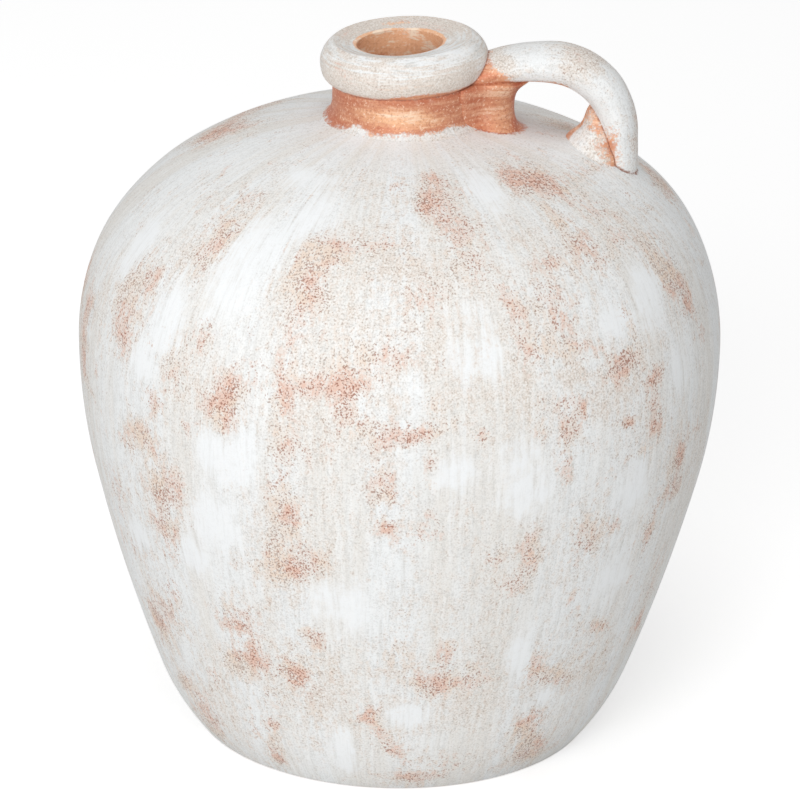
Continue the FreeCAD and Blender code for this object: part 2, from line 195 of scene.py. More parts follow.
def draw_out(name: str, sections: Sequence[Section], corners: int) -> bpy.types.Object:
    """Draw clay out through oval sections that stand across the XZ plane, and smooth it.

    Args:
        name: the piece's name.
        sections: the ovals in order; each one's half lengths in the plane and across it.
        corners: how many corners an oval has before it is smoothed.
    Returns:
        The closed piece, in object mode.
    """
    start_fresh()
    bpy.ops.mesh.primitive_circle_add(vertices=corners, radius=1.0, fill_type="NGON")
    piece = open_new(name, "FACE")
    shrink = (2 + math.cos(math.tau / corners)) / 3
    size = Vector((1.0, 1.0))
    at, lean = Vector((0, 0, 0)), 0.0
    for number, section in enumerate(sections):
        if number:
            bpy.ops.mesh.extrude_region_move()
        place = Vector((section.across, 0, section.up))
        fresh = Vector((section.long, section.wide)) / shrink
        stand_up, lay_flat = Matrix.Rotation(section.tilt, 3, "Y"), Matrix.Rotation(-lean, 3, "Y")
        change = stand_up @ Matrix.Diagonal((fresh.x / size.x, fresh.y / size.y, 1.0)) @ lay_flat
        shape = bmesh.from_edit_mesh(piece.data)
        for vertex in [vertex for vertex in shape.verts if vertex.select]:
            vertex.co = place + change @ (vertex.co - at)
        bmesh.update_edit_mesh(piece.data)
        size, at, lean = fresh, place, section.tilt
    bpy.ops.mesh.select_all(action="SELECT")
    bpy.ops.mesh.normals_make_consistent(inside=False)
    bpy.ops.object.mode_set(mode="OBJECT")
    apply(piece, "SUBSURF", levels=ROUND_LEVELS, render_levels=ROUND_LEVELS)
    return piece


def apply(piece: bpy.types.Object, kind: str, **settings: object) -> None:
    """Add one modifier to a piece and apply it.

    Args:
        piece: the piece that takes it.
        kind: Blender's name for the modifier.
        settings: the modifier's own settings.
    """
    take_up(piece)
    modifier = piece.modifiers.new(kind.lower(), kind)
    for setting, value in settings.items():
        setattr(modifier, setting, value)
    bpy.ops.object.modifier_apply(modifier=modifier.name)


def leave_hand_marks(piece: bpy.types.Object, name: str, size: float, amount: float,
                     weights: Values | None = None) -> None:
    """Move a piece's surface a little by a soft cloud, the same way where two pieces meet.

    Args:
        piece: the piece that takes the marks.
        name: the cloud's name.
        size: the cloud's size, in metres.
        amount: the whole range of the movement, in metres.
        weights: how much of it each vertex takes, from 0 to 1.
    """
    cloud = bpy.data.textures.new(name, "CLOUDS")
    cloud.noise_scale = size
    cloud.noise_depth = 1
    cloud.cloud_type = "COLOR"
    extra = {}
    if weights is not None:
        group = piece.vertex_groups.new(name="free")
        for level in range(11):
            share = level / 10
            chosen = np.nonzero(np.abs(weights - share) <= 0.05)[0]
            group.add([int(index) for index in chosen], share, "REPLACE")
        extra["vertex_group"] = group.name
    apply(piece, "DISPLACE", texture=cloud, texture_coords="LOCAL", direction="RGB_TO_XYZ",
          strength=amount, mid_level=0.5, **extra)
    if weights is not None:
        piece.vertex_groups.remove(piece.vertex_groups["free"])


def settle(piece: bpy.types.Object, tilt: float = 0.0, height: float = 0.0, turn: float = 0.0) -> None:
    """Lean a piece its +X side up, lift it, turn it towards -Y, and keep that in its mesh.

    Args:
        piece: the piece.
        tilt: how far it leans, in radians.
        height: how far it is lifted.
        turn: how far it is turned, in radians.
    """
    take_up(piece)
    piece.rotation_euler = (0, -tilt, -turn)
    piece.location = (0, 0, height)
    bpy.ops.object.transform_apply(location=True, rotation=True, scale=True)


# Reading and painting a mesh


def places(piece: bpy.types.Object) -> Values:
    """Return the piece's vertices as rows of x, y, z.

    Args:
        piece: the piece.
    Returns:
        The rows.
    """
    co = np.zeros(len(piece.data.vertices) * 3, np.float32)
    piece.data.vertices.foreach_get("co", co)
    return co.reshape(-1, 3).astype(float)


def put(piece: bpy.types.Object, co: Values) -> None:
    """Move the piece's vertices to new places."""
    piece.data.vertices.foreach_set("co", co.astype(np.float32).ravel())
    piece.data.update()


def turns(co: Values) -> Values:
    """Return each vertex's turn about the axis, in degrees from the front towards the handle."""
    return np.degrees(np.arctan2(co[:, 0], -co[:, 1]))


def reach(co: Values) -> Values:
    """Return each vertex's distance from the axis."""
    return np.hypot(co[:, 0], co[:, 1])


def lay(piece: bpy.types.Object, **layers: Values | float) -> None:
    """Lay numbers or vectors on a piece's vertices for the material to read.

    Args:
        piece: the piece.
        layers: under each layer's name, its values or the one value that holds everywhere.
    """
    for name, values in layers.items():
        if isinstance(values, float):
            values = np.full(len(piece.data.vertices), values)
        kind, field = ("FLOAT", "value") if values.ndim == 1 else ("FLOAT_VECTOR", "vector")
        attribute = piece.data.attributes.new(name, kind, "POINT")
        attribute.data.foreach_set(field, values.astype(np.float32).ravel())


def distance_to(co: Values, others: Sequence[bpy.types.Object]) -> Values:
    """Return how far each place is from the nearest of some pieces, in millimetres up to FAR.

    Args:
        co: the places.
        others: the pieces.
    Returns:
        The distances.
    """
    limit = FAR * MM
    found = np.full(len(co), limit)
    for other in others:
        mesh = other.data
        tree = BVHTree.FromPolygons([vertex.co for vertex in mesh.vertices],
                                    [tuple(face.vertices) for face in mesh.polygons])
        own = places(other)
        low, high = own.min(0) - limit, own.max(0) + limit
        for index in np.nonzero(((co > low) & (co < high)).all(1))[0]:
            gap = tree.find_nearest(Vector(co[index]), limit)[3]
            if gap is not None:
                found[index] = min(found[index], gap)
    return found / MM


def soft(values: Values, width: float) -> Values:
    """Return 1 at zero distance, falling off smoothly over a width."""
    return np.exp(-((values / width) ** 2))


def painted_shade(co: Values, fitted: Sequence[bpy.types.Object], strength: float, width: float) -> Values:
    """Return how much painted shade each place takes beside the pieces fitted to it, over a width in mm."""
    return strength * soft(distance_to(co, fitted), width)


def stroke_drum(co: Values, drum: float, up: Values) -> Values:
    """Return where each place lies on a drum that a brush's strokes are drawn on.

    Args:
        co: the places.
        drum: the drum's radius; a small one stretches the strokes round the jug.
        up: each place's height on the drum; a small one stretches them up the wall.
    Returns:
        The places on the drum.
    """
    angle = np.arctan2(co[:, 1], co[:, 0])
    return np.stack([drum * np.cos(angle), drum * np.sin(angle), up], 1)


# Finishes


@dataclass(frozen=True)
class Grain:
    """A noise: its grains to the metre, its detail and its roughness."""

    scale: float
    detail: float = 3.0
    roughness: float = 0.6


class Recipe:
    """Writes a node tree one step at a time."""

    def __init__(self, tree: bpy.types.NodeTree) -> None:
        """Take the tree that is written."""
        self.tree = tree

    def feed(self, node: bpy.types.Node, feeds: dict[str | int, Feed]) -> None:
        """Link a socket to each named input of a node, or set its constant.

        Args:
            node: the node.
            feeds: a socket or a constant for each input.
        """
        for name, feed in feeds.items():
            if isinstance(feed, bpy.types.NodeSocket):
                self.tree.links.new(feed, node.inputs[name])
            else:
                node.inputs[name].default_value = feed

    def add(self, kind: str, feeds: dict[str | int, Feed] | None = None,
            **settings: object) -> bpy.types.Node:
        """Add a node, set it and feed its inputs.

        Args:
            kind: Blender's name for the node.
            feeds: a socket or a constant for each named input.
            settings: the node's own settings.
        Returns:
            The node.
        """
        node = self.tree.nodes.new(kind)
        for setting, value in settings.items():
            setattr(node, setting, value)
        self.feed(node, feeds or {})
        return node

    def group(self, tree: bpy.types.NodeTree, **feeds: Feed) -> bpy.types.bpy_prop_collection:
        """Place a node group, feed it and return its outputs."""
        return self.add("ShaderNodeGroup", feeds, node_tree=tree).outputs

    def noise(self, place: Socket, grain: Grain) -> Socket:
        """Return a noise from 0 to 1 at a place."""
        feeds = {"Vector": place, "Scale": grain.scale, "Detail": grain.detail, "Roughness": grain.roughness}
        return self.add("ShaderNodeTexNoise", feeds).outputs["Fac"]

    def ramp(self, level: Socket, low: float, high: float, start: float = 0.0, end: float = 1.0) -> Socket:
        """Return what goes smoothly from start to end while the level goes from low to high."""
        feeds = {"Value": level, "From Min": low, "From Max": high, "To Min": start, "To Max": end}
        return self.add("ShaderNodeMapRange", feeds, interpolation_type="SMOOTHSTEP").outputs["Result"]

    def reckon(self, operation: str, *numbers: Feed) -> Socket:
        """Return what a Math node makes of its numbers."""
        return self.add("ShaderNodeMath", dict(enumerate(numbers)), operation=operation).outputs[0]

    def product(self, *levels: Feed) -> Feed:
        """Return all the levels multiplied together.

        Args:
            levels: sockets or constants.
        Returns:
            Their product.
        """
        whole, *others = levels
        for level in others:
            whole = self.reckon("MULTIPLY", whole, level)
        return whole

    def total(self, start: Feed, *parts: tuple[Socket, Feed]) -> Feed:
        """Return a start value plus each level times its amount.

        Args:
            start: the start value.
            parts: each level with its amount.
        Returns:
            The total.
        """
        for level, amount in parts:
            start = self.reckon("MULTIPLY_ADD", level, amount, start)
        return start

    def over(self, under: Feed, colour: Feed, *shares: Feed, blend: str = "MIX") -> Socket:
        """Return one colour laid over another by the product of some shares.

        Args:
            under: the colour beneath.
            colour: the colour that is laid over it.
            shares: how much of it is laid, each from 0 to 1.
            blend: Blender's name for how the two are blended.
        Returns:
            The new colour.
        """
        feeds = {0: self.product(*shares), 6: under, 7: colour}
        return self.add("ShaderNodeMix", feeds, data_type="RGBA", blend_type=blend).outputs[2]

    def attribute(self, name: str, output: str = "Fac") -> Socket:
        """Return what was laid on the mesh under a name."""
        return self.add("ShaderNodeAttribute", attribute_name=name).outputs[output]

    def relief(self, height: Socket, strength: float, depth: float) -> Socket:
        """Return the normals of a surface with some relief."""
        feeds = {"Height": height, "Strength": strength, "Distance": depth}
        return self.add("ShaderNodeBump", feeds).outputs["Normal"]


def colour(red: float, green: float, blue: float) -> tuple[float, float, float, float]:
    """Return an opaque linear colour."""
    return red, green, blue, 1.0


def open_material(name: str) -> tuple[bpy.types.Material, Recipe, bpy.types.Node]:
    """Return a new material, its recipe and its shader.

    Args:
        name: the material's name.
    Returns:
        The material, the writer of its node tree, and its Principled BSDF.
    """
    material = bpy.data.materials.new(name)
    material.use_nodes = True
    return material, Recipe(material.node_tree), material.node_tree.nodes["Principled BSDF"]


class Effect:
    """A node group that several materials share."""

    def __init__(self, name: str, vectors: Sequence[str], numbers: Sequence[str],
                 gives: Sequence[str]) -> None:
        """Make the empty group.

        Args:
            name: the group's name.
            vectors: the names of the inputs that take vectors.
            numbers: the names of the inputs that take numbers.
            gives: the names of its outputs; Color gives a colour and the others numbers.
        """
        self.tree = bpy.data.node_groups.new(name, "ShaderNodeTree")
        for label in (*vectors, *numbers):
            kind = "NodeSocketVector" if label in vectors else "NodeSocketFloat"
            self.tree.interface.new_socket(name=label, in_out="INPUT", socket_type=kind)
        for label in gives:
            kind = "NodeSocketColor" if label == "Color" else "NodeSocketFloat"
            self.tree.interface.new_socket(name=label, in_out="OUTPUT", socket_type=kind)
        self.recipe = Recipe(self.tree)
        self.taken = self.tree.nodes.new("NodeGroupInput").outputs
        self.given = self.tree.nodes.new("NodeGroupOutput")

    def give(self, **sources: Socket) -> bpy.types.NodeTree:
        """Put each value out under its label and return the finished group."""
        self.recipe.feed(self.given, sources)
        return self.tree


@dataclass(frozen=True)
class Whitewash:
    """Dry-brushed whitewash, worn through to speckled clay where the wear is high."""

    cool: tuple = colour(0.845, 0.862, 0.866)
    chalk: tuple = colour(0.900, 0.903, 0.895)
    warm: tuple = colour(0.800, 0.782, 0.748)
    shade: tuple = colour(0.640, 0.632, 0.612)
    fresh: tuple = colour(0.872, 0.890, 0.900)
    haze: tuple = colour(0.785, 0.710, 0.640)
    stain: tuple = colour(0.680, 0.600, 0.530)
    peach: tuple = colour(0.795, 0.665, 0.565)
    salmon: tuple = colour(0.750, 0.515, 0.420)
    dim: tuple = colour(0.740, 0.730, 0.720)
    dust: tuple = colour(0.680, 0.580, 0.540)
    speck: tuple = colour(0.620, 0.415, 0.360)
    blotch: Grain = Grain(44, 4.0, 0.62)
    ragged: Grain = Grain(180, 3.0, 0.65)
    hue: Grain = Grain(62, 2.0, 0.5)
    tint: Grain = Grain(95, 2.0, 0.5)
    crumb: Grain = Grain(430, 2.5)
    grain: Grain = Grain(1250, 1.5)
    broad: Grain = Grain(40, 4.0)
    brush: Grain = Grain(380)
    hair: Grain = Grain(1050, 2.0)
    drag: Grain = Grain(320)

    def effect(self) -> bpy.types.NodeTree:
        """Write the group: it takes places, strokes and four amounts, and gives colour and height."""
        made = Effect("whitewash", ("Place", "Strokes"), ("Wear", "Haze", "Thick", "Rake"),
                      ("Color", "Height"))
        r, place, strokes, worn, hazy, thick, rake = made.recipe, *list(made.taken)[:6]
        blotch, ragged, hue, tint, crumb, grain = (r.noise(place, each) for each in (
            self.blotch, self.ragged, self.hue, self.tint, self.crumb, self.grain))
        broad, brush, hair = (r.noise(strokes, each) for each in (self.broad, self.brush, self.hair))
        flat = r.add("ShaderNodeMapping", {"Vector": strokes, "Scale": (1.0, 1.0, 3.0)}).outputs["Vector"]
        dragged = r.product(rake, r.total(-0.5, (r.noise(flat, self.drag), 1.0)))

        covered = r.total(-2.30, (thick, 1.0), (broad, 1.4), (brush, 0.8), (ragged, 0.8), (blotch, 1.6))
        heavy = r.ramp(covered, 0.20, 0.90)
        cover = r.total(-1.0, (blotch, 1.1), (ragged, 0.9), (heavy, -0.50))
        wear = r.total(cover, (worn, 1.0))
        haze = r.total(cover, (hazy, 1.0), (dragged, 1.1))
        wash = r.total(-0.50, (wear, 1.0), (crumb, 1.0), (dragged, 1.0))
        mottle = r.total(-1.10, (haze, 1.0), (crumb, 2.2))
        raked = r.product(rake, r.ramp(heavy, 0.0, 1.0, 1.0, 0.45))
        grainy = r.product(r.ramp(haze, -0.15, 0.55, 0.40, 1.0), r.ramp(heavy, 0.0, 1.0, 1.0, 0.3),
                           r.ramp(rake, 1.0, 2.4, 1.0, 0.70))

        tone = r.over(self.cool, self.warm, r.ramp(broad, 0.42, 0.62))
        tone = r.over(tone, self.fresh, heavy)
        tone = r.over(tone, self.chalk, raked, r.ramp(brush, 0.50, 0.70, end=0.60))
        tone = r.over(tone, self.shade, raked, r.ramp(brush, 0.47, 0.30, end=0.40))
        tone = r.over(tone, self.shade, raked, r.ramp(hair, 0.48, 0.30, end=0.36))
        tone = r.over(tone, self.shade, grainy, r.ramp(crumb, 0.50, 0.34, end=0.55))
        tone = r.over(tone, self.haze, r.ramp(haze, 0.00, 0.80, end=0.72))
        tone = r.over(tone, self.stain, r.ramp(mottle, 0.15, 0.90, end=0.60))
        tone = r.over(tone, self.chalk, grainy, r.ramp(grain, 0.53, 0.64, end=0.62))
        clay = r.over(self.peach, self.salmon, r.ramp(hue, 0.42, 0.58))
        tone = r.over(tone, clay, r.ramp(wash, 0.24, 0.86), r.ramp(tint, 0.40, 0.52, 0.35, 0.92))
        tone = r.over(tone, self.dim, grainy, r.ramp(grain, 0.50, 0.34, end=0.80), blend="MULTIPLY")
        tone = r.over(tone, self.warm, r.ramp(wash, 0.30, 0.70, end=0.70), r.ramp(crumb, 0.51, 0.58))

        rub = r.total(-0.225, (crumb, 0.45), (wear, 0.17), (r.ramp(tint, 0.52, 0.40, end=0.02), 1.0),
                      (grain, -1.0))
        rubbed = r.product(r.ramp(rub, -0.315, -0.265), r.ramp(rake, 1.0, 2.4, 1.0, 0.5))
        speck = r.over(self.dust, self.speck, r.ramp(hue, 0.40, 0.52))
        tone = r.over(tone, speck, rubbed, r.ramp(wear, -0.05, 0.55, 0.15, 1.0), blend="MULTIPLY")
        height = r.total(0.0, (hair, 0.3), (brush, 0.5), (crumb, 0.5), (rubbed, -0.4))
        return made.give(Color=tone, Height=height)


@dataclass(frozen=True)
class CopperyPaint:
    """Coppery terracotta paint with brush marks, with painted highlights in gold and painted shade in deep
    red.
    """

    body: tuple = colour(0.575, 0.190, 0.097)
    gold: tuple = colour(0.850, 0.490, 0.290)
    deep: tuple = colour(0.430, 0.120, 0.065)
    bloom: tuple = colour(0.840, 0.600, 0.480)
    # Colour of painted glints and highlights.
    painted_glint: tuple = colour(0.93, 0.76, 0.60)
    broad: Grain = Grain(60)
    brush: Grain = Grain(330, 3.0, 0.65)
    grain: Grain = Grain(900, 2.0, 0.7)
    dusty: Grain = Grain(260, 3.0, 0.65)

    def effect(self) -> bpy.types.NodeTree:
        """Write the group: it takes places, strokes and a level of painted light, and gives colour and
        height.
        """
        made = Effect("coppery_paint", ("Place", "Strokes"), ("Shine",), ("Color", "Height"))
        r, place, strokes, shine = made.recipe, *list(made.taken)[:3]
        broad, brush = r.noise(strokes, self.broad), r.noise(strokes, self.brush)
        grain, dusty = r.noise(place, self.grain), r.noise(place, self.dusty)
        tone = r.over(self.body, self.deep, r.ramp(broad, 0.62, 0.40, end=0.5))
        tone = r.over(tone, self.gold, r.ramp(brush, 0.44, 0.72, end=0.36))
        # Painted highlight: gold and glints where the painted light level is high.
        tone = r.over(tone, self.gold, shine, r.ramp(brush, 0.28, 0.58, 0.35, 1.0))
        tone = r.over(tone, self.painted_glint, shine, r.ramp(brush, 0.52, 0.68, end=0.8))
        tone = r.over(tone, self.bloom, r.ramp(dusty, 0.54, 0.74, end=0.24))
        # Painted shade: deep red where the painted light level falls below zero.
        tone = r.over(tone, self.deep, r.ramp(shine, 0.0, -1.0, end=0.90))
        # Painted glints in the fine grain.
        tone = r.over(tone, self.painted_glint, r.ramp(grain, 0.57, 0.70, end=0.6))
        # Dark grains, fewer where the painted highlight is strong.
        tone = r.over(tone, self.deep, r.ramp(shine, 0.6, 1.6, 1.0, 0.35), r.ramp(grain, 0.47, 0.32, end=0.6))
        return made.give(Color=tone, Height=r.total(0.0, (grain, 0.3), (brush, 0.7)))


@dataclass(frozen=True)
class RaggedEdge:
    """Where one coat ends on another, broken up as a dry brush leaves it."""

    bite: Grain = Grain(260, 3.0, 0.65)
    fine: Grain = Grain(900, 2.0)
    drag: Grain = Grain(300, 2.0)
    depths: tuple[float, float, float] = (4.5, 4.0, 2.0)

    def effect(self) -> bpy.types.NodeTree:
        """Write the group: it takes a depth inside the edge in millimetres and gives a mask."""
        made = Effect("ragged_edge", ("Place", "Strokes"), ("Depth",), ("Mask",))
        r, place, strokes, depth = made.recipe, *list(made.taken)[:3]
        noises = r.noise(place, self.bite), r.noise(place, self.fine), r.noise(strokes, self.drag)
        level = r.total(-sum(self.depths) / 2, (depth, 1.0), *zip(noises, self.depths))
        return made.give(Mask=r.ramp(level, -0.8, 1.0))


@dataclass(frozen=True)
class FiredClay:
    """Bare fired terracotta with fine sand in it."""

    body: tuple = colour(0.50, 0.235, 0.14)
    pale: tuple = colour(0.62, 0.37, 0.26)
    dark: tuple = colour(0.33, 0.13, 0.075)
    blotch: Grain = Grain(35, 4.0)
    sand: Grain = Grain(900, 3.0, 0.7)

    def effect(self) -> bpy.types.NodeTree:
        """Write the group: it takes places and gives colour and height."""
        made = Effect("fired_clay", ("Place",), (), ("Color", "Height"))
        r, place = made.recipe, made.taken["Place"]
        blotch, sand = r.noise(place, self.blotch), r.noise(place, self.sand)
        tone = r.over(self.body, self.pale, r.ramp(blotch, 0.38, 0.66))
        tone = r.over(tone, self.dark, r.ramp(sand, 0.42, 0.25, end=0.7))
        tone = r.over(tone, self.pale, r.ramp(sand, 0.62, 0.78, end=0.6))
        return made.give(Color=tone, Height=sand)


class Effects:
    """The shared groups, made once."""

    def __init__(self) -> None:
        """Write all the groups."""
        self.whitewash = Whitewash().effect()
        self.coppery = CopperyPaint().effect()
        self.edge = RaggedEdge().effect()
        self.clay = FiredClay().effect()


@dataclass(frozen=True)
class Coat:
    """Whitewash over a piece, with coppery paint where the values laid on the piece put it."""

    name: str
    roughness: float = 0.8
    paint_roughness: float = 0.5
    paint_metal: float = 0.12
    specular: float = 0.3
    relief: float = 0.35
    relief_depth: float = 0.0003
    # Painted shade: the dark red-brown laid in the creases where pieces meet.
    painted_shade: tuple = colour(0.30, 0.12, 0.075)
    crumbs: Grain = Grain(520, 2.0)

    def make(self, effects: Effects) -> bpy.types.Material:
        """Build the material.

        Args:
            effects: the shared node groups.
        Returns:
            The new material.
        """
        material, r, shader = open_material(self.name)
        place = r.add("ShaderNodeTexCoord").outputs["Object"]
        strokes, sweep = r.attribute("strokes", "Vector"), r.attribute("sweep", "Vector")
        amounts = {label: r.attribute(label.lower()) for label in ("Wear", "Haze", "Thick", "Rake")}
        white = r.group(effects.whitewash, Place=place, Strokes=strokes, **amounts)
        # The coppery paint takes its painted highlight and painted shade from a layer on the mesh.
        paint = r.group(effects.coppery, Place=place, Strokes=sweep, Shine=r.attribute("shine"))
        mask = r.group(effects.edge, Place=place, Strokes=sweep, Depth=r.attribute("copper"))["Mask"]
        # Painted shade in the creases where pieces meet, broken up by crumbs; the same layer also sinks the
        # relief there.
        crease = r.attribute("crease")
        crumbly = r.total(-0.9, (r.noise(place, self.crumbs), 1.8))
        crease = r.ramp(r.total(crease, (crumbly, crease)), 0.35, 0.90, end=0.85)
        height = r.add("ShaderNodeMix", {0: mask, 2: white["Height"], 3: paint["Height"]}).outputs[0]
        r.feed(shader, {
            "Base Color": r.over(r.over(white["Color"], paint["Color"], mask), self.painted_shade, crease),
            "Roughness": r.ramp(mask, 0.0, 1.0, self.roughness, self.paint_roughness),
            "Metallic": r.product(mask, self.paint_metal),
            "Specular IOR Level": self.specular,
            "Normal": r.relief(r.total(height, (crease, -1.0)), self.relief, self.relief_depth),
        })
        return material


@dataclass(frozen=True)
class BareClay:
    """Bare clay, inside the jug and under its foot."""

    name: str = "bare_clay"
    roughness: float = 0.85
    specular: float = 0.25
    relief: float = 0.4
    relief_depth: float = 0.0004

    def make(self, effects: Effects) -> bpy.types.Material:
        """Build the material.

        Args:
            effects: the shared node groups.
        Returns:
            The new material.
        """
        material, r, shader = open_material(self.name)
        clay = r.group(effects.clay, Place=r.add("ShaderNodeTexCoord").outputs["Object"])
        r.feed(shader, {
            "Base Color": clay["Color"], "Roughness": self.roughness, "Specular IOR Level": self.specular,
            "Normal": r.relief(clay["Height"], self.relief, self.relief_depth),
        })
        return material


class Materials:
    """Every material of the jug, made once."""

    def __init__(self) -> None:
        """Make them all."""
        effects = Effects()
        self.white = Coat("whitewash").make(effects)
        self.copper = Coat("copper_wash", relief=0.5).make(effects)
        self.clay = BareClay().make(effects)


def finish(piece: bpy.types.Object, slot: Finish, node: str, *materials: bpy.types.Material) -> None:
    """Give a piece its materials and its place in the frame.

    Args:
        piece: the finished piece.
        slot: the record's slot for its finish, which is not used.
        node: the CAD node that it stands for.
        materials: its materials, the main one first.
    """
    for material in materials:
        piece.data.materials.append(material)
    take_up(piece)
    bpy.ops.object.shade_smooth_by_angle(angle=SMOOTH_BELOW)
    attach(piece, "root")
    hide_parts(node)
    log.info("%s: %d vertices", piece.name, len(piece.data.vertices))


# The wall


@dataclass(frozen=True)
class Arc:
    """One arc of the wall's outline, its angles measured from outwards towards up."""

    centre: Vector
    radius: float
    start: float
    end: float


@dataclass(frozen=True)
class Wall:
    """The thrown wall's outline from the foot to the hole for the neck: six tangent arcs."""

    belly_radius: float = 0.1397
    belly_height: float = 0.178
    foot_radius: float = 0.088
    shoulder_rise: float = 0.098
    hole_radius: float = 0.035
    thickness: float = 0.008
    heel: Spot = (0.33, 0.165)
    flank: Spot = (0.865, 0.67)
    shoulder: Spot = (0.928, 0.39)
    crown: Spot = (0.627, 0.77)

    def top(self) -> float:
        """Return the height of the hole for the neck."""
        return self.belly_height + self.shoulder_rise

    def stations(self) -> list[Vector]:
        """Return where the arcs meet, from the foot up."""
        below = self.belly_radius - self.foot_radius
        above = self.belly_radius - self.hole_radius
        spots = [(self.foot_radius, 0.0)]
        spots += [(self.foot_radius + below * out, self.belly_height * up)
                  for out, up in (self.heel, self.flank)]
        spots += [(self.belly_radius, self.belly_height)]
        spots += [(self.hole_radius + above * out, self.belly_height + self.shoulder_rise * up)
                  for out, up in (self.shoulder, self.crown)]
        spots += [(self.hole_radius, self.top())]
        return [Vector(spot) for spot in spots]

    def arcs(self) -> list[Arc]:
        """Return the six arcs from the foot up, tangent to each other and upright at the belly."""
        spots = self.stations()
        widest = 3
        made = []
        for run in (spots[widest::-1], spots[widest:]):
            outward = Vector((1.0, 0.0))
            chain = []
            for start, end in zip(run, run[1:]):
                chord = end - start
                radius = -chord.dot(chord) / (2 * chord.dot(outward))
                centre = start - outward * radius
                outward = (end - centre) / radius
                angles = [math.atan2(spot.y - centre.y, spot.x - centre.x) for spot in (start, end)]
                chain.append(Arc(centre, radius, min(angles), max(angles)))
            made += chain[::-1] if run[-1] == spots[0] else chain
        return made

    def line(self, inset: float, low: float, high: float, step: float) -> list[Spot]:
        """Return spots up the wall between two heights.

        Args:
            inset: how far inside the outline.
            low: the first spot's height.
            high: the last spot's height.
            step: about how far apart the spots are.
        Returns:
            The spots from the bottom up.
        """
        spots = []
        for arc in self.arcs():
            radius = arc.radius - inset
            sines = [(level - arc.centre.y) / radius for level in (low, high)]
            least, most = (math.asin(max(-1.0, min(1.0, sine))) for sine in sines)
            start, end = max(arc.start, least), min(arc.end, most)
            if end <= start:
                continue
            count = max(2, round((end - start) * radius / step))
            turned = [start + (end - start) * number / count for number in range(count + 1)]
            fresh = [(arc.centre.x + radius * math.cos(angle), arc.centre.y + radius * math.sin(angle))
                     for angle in turned]
            spots += fresh[1:] if spots else fresh
        return spots

    def inner_top(self) -> float:
        """Return the height where the inside of the wall meets the hole."""
        arc = self.arcs()[-1]
        radius = arc.radius - self.thickness
        return arc.centre.y + math.sqrt(radius ** 2 - (self.hole_radius - arc.centre.x) ** 2)

    def outline(self) -> Values:
        """Return the outside as rows of radius and height, a millimetre apart."""
        return np.array(self.line(0.0, 0.0, self.top(), MM))

    def along(self, heights: Values) -> Values:
        """Return how far up the wall each height is, measured along the outside.

        Args:
            heights: the heights, in metres.
        Returns:
            The ways up, in metres.
        """
        spots = self.outline()
        run = np.r_[0.0, np.cumsum(np.hypot(*np.diff(spots, axis=0).T))]
        return np.interp(heights, spots[:, 1], run)

    def radius_at(self, heights: Values) -> Values:
        """Return the outline's radius at each height."""
        spots = self.outline()
        return np.interp(heights, spots[:, 1], spots[:, 0])

    def strokes(self, co: Values) -> dict[str, Values]:
        """Return the layers for brushes that go up the wall and round it.

        Args:
            co: the places.
        Returns:
            The layers under their names.
        """
        along = self.along(co[:, 2])
        return {"strokes": stroke_drum(co, self.belly_radius, along * STROKE_SHARE),
                "sweep": stroke_drum(co, self.belly_radius * RING_SHARE, along)}


@dataclass(frozen=True)
class Patch:
    """A patch on the wall: degrees, millimetres along, their halves, and a lean."""

    turn: float
    along: float
    half_turn: float
    half_length: float
    lean: float = 0.0
    strength: float = 1.0


STRONG, MIDDLING, FAINT = 0.95, 0.66, 0.40

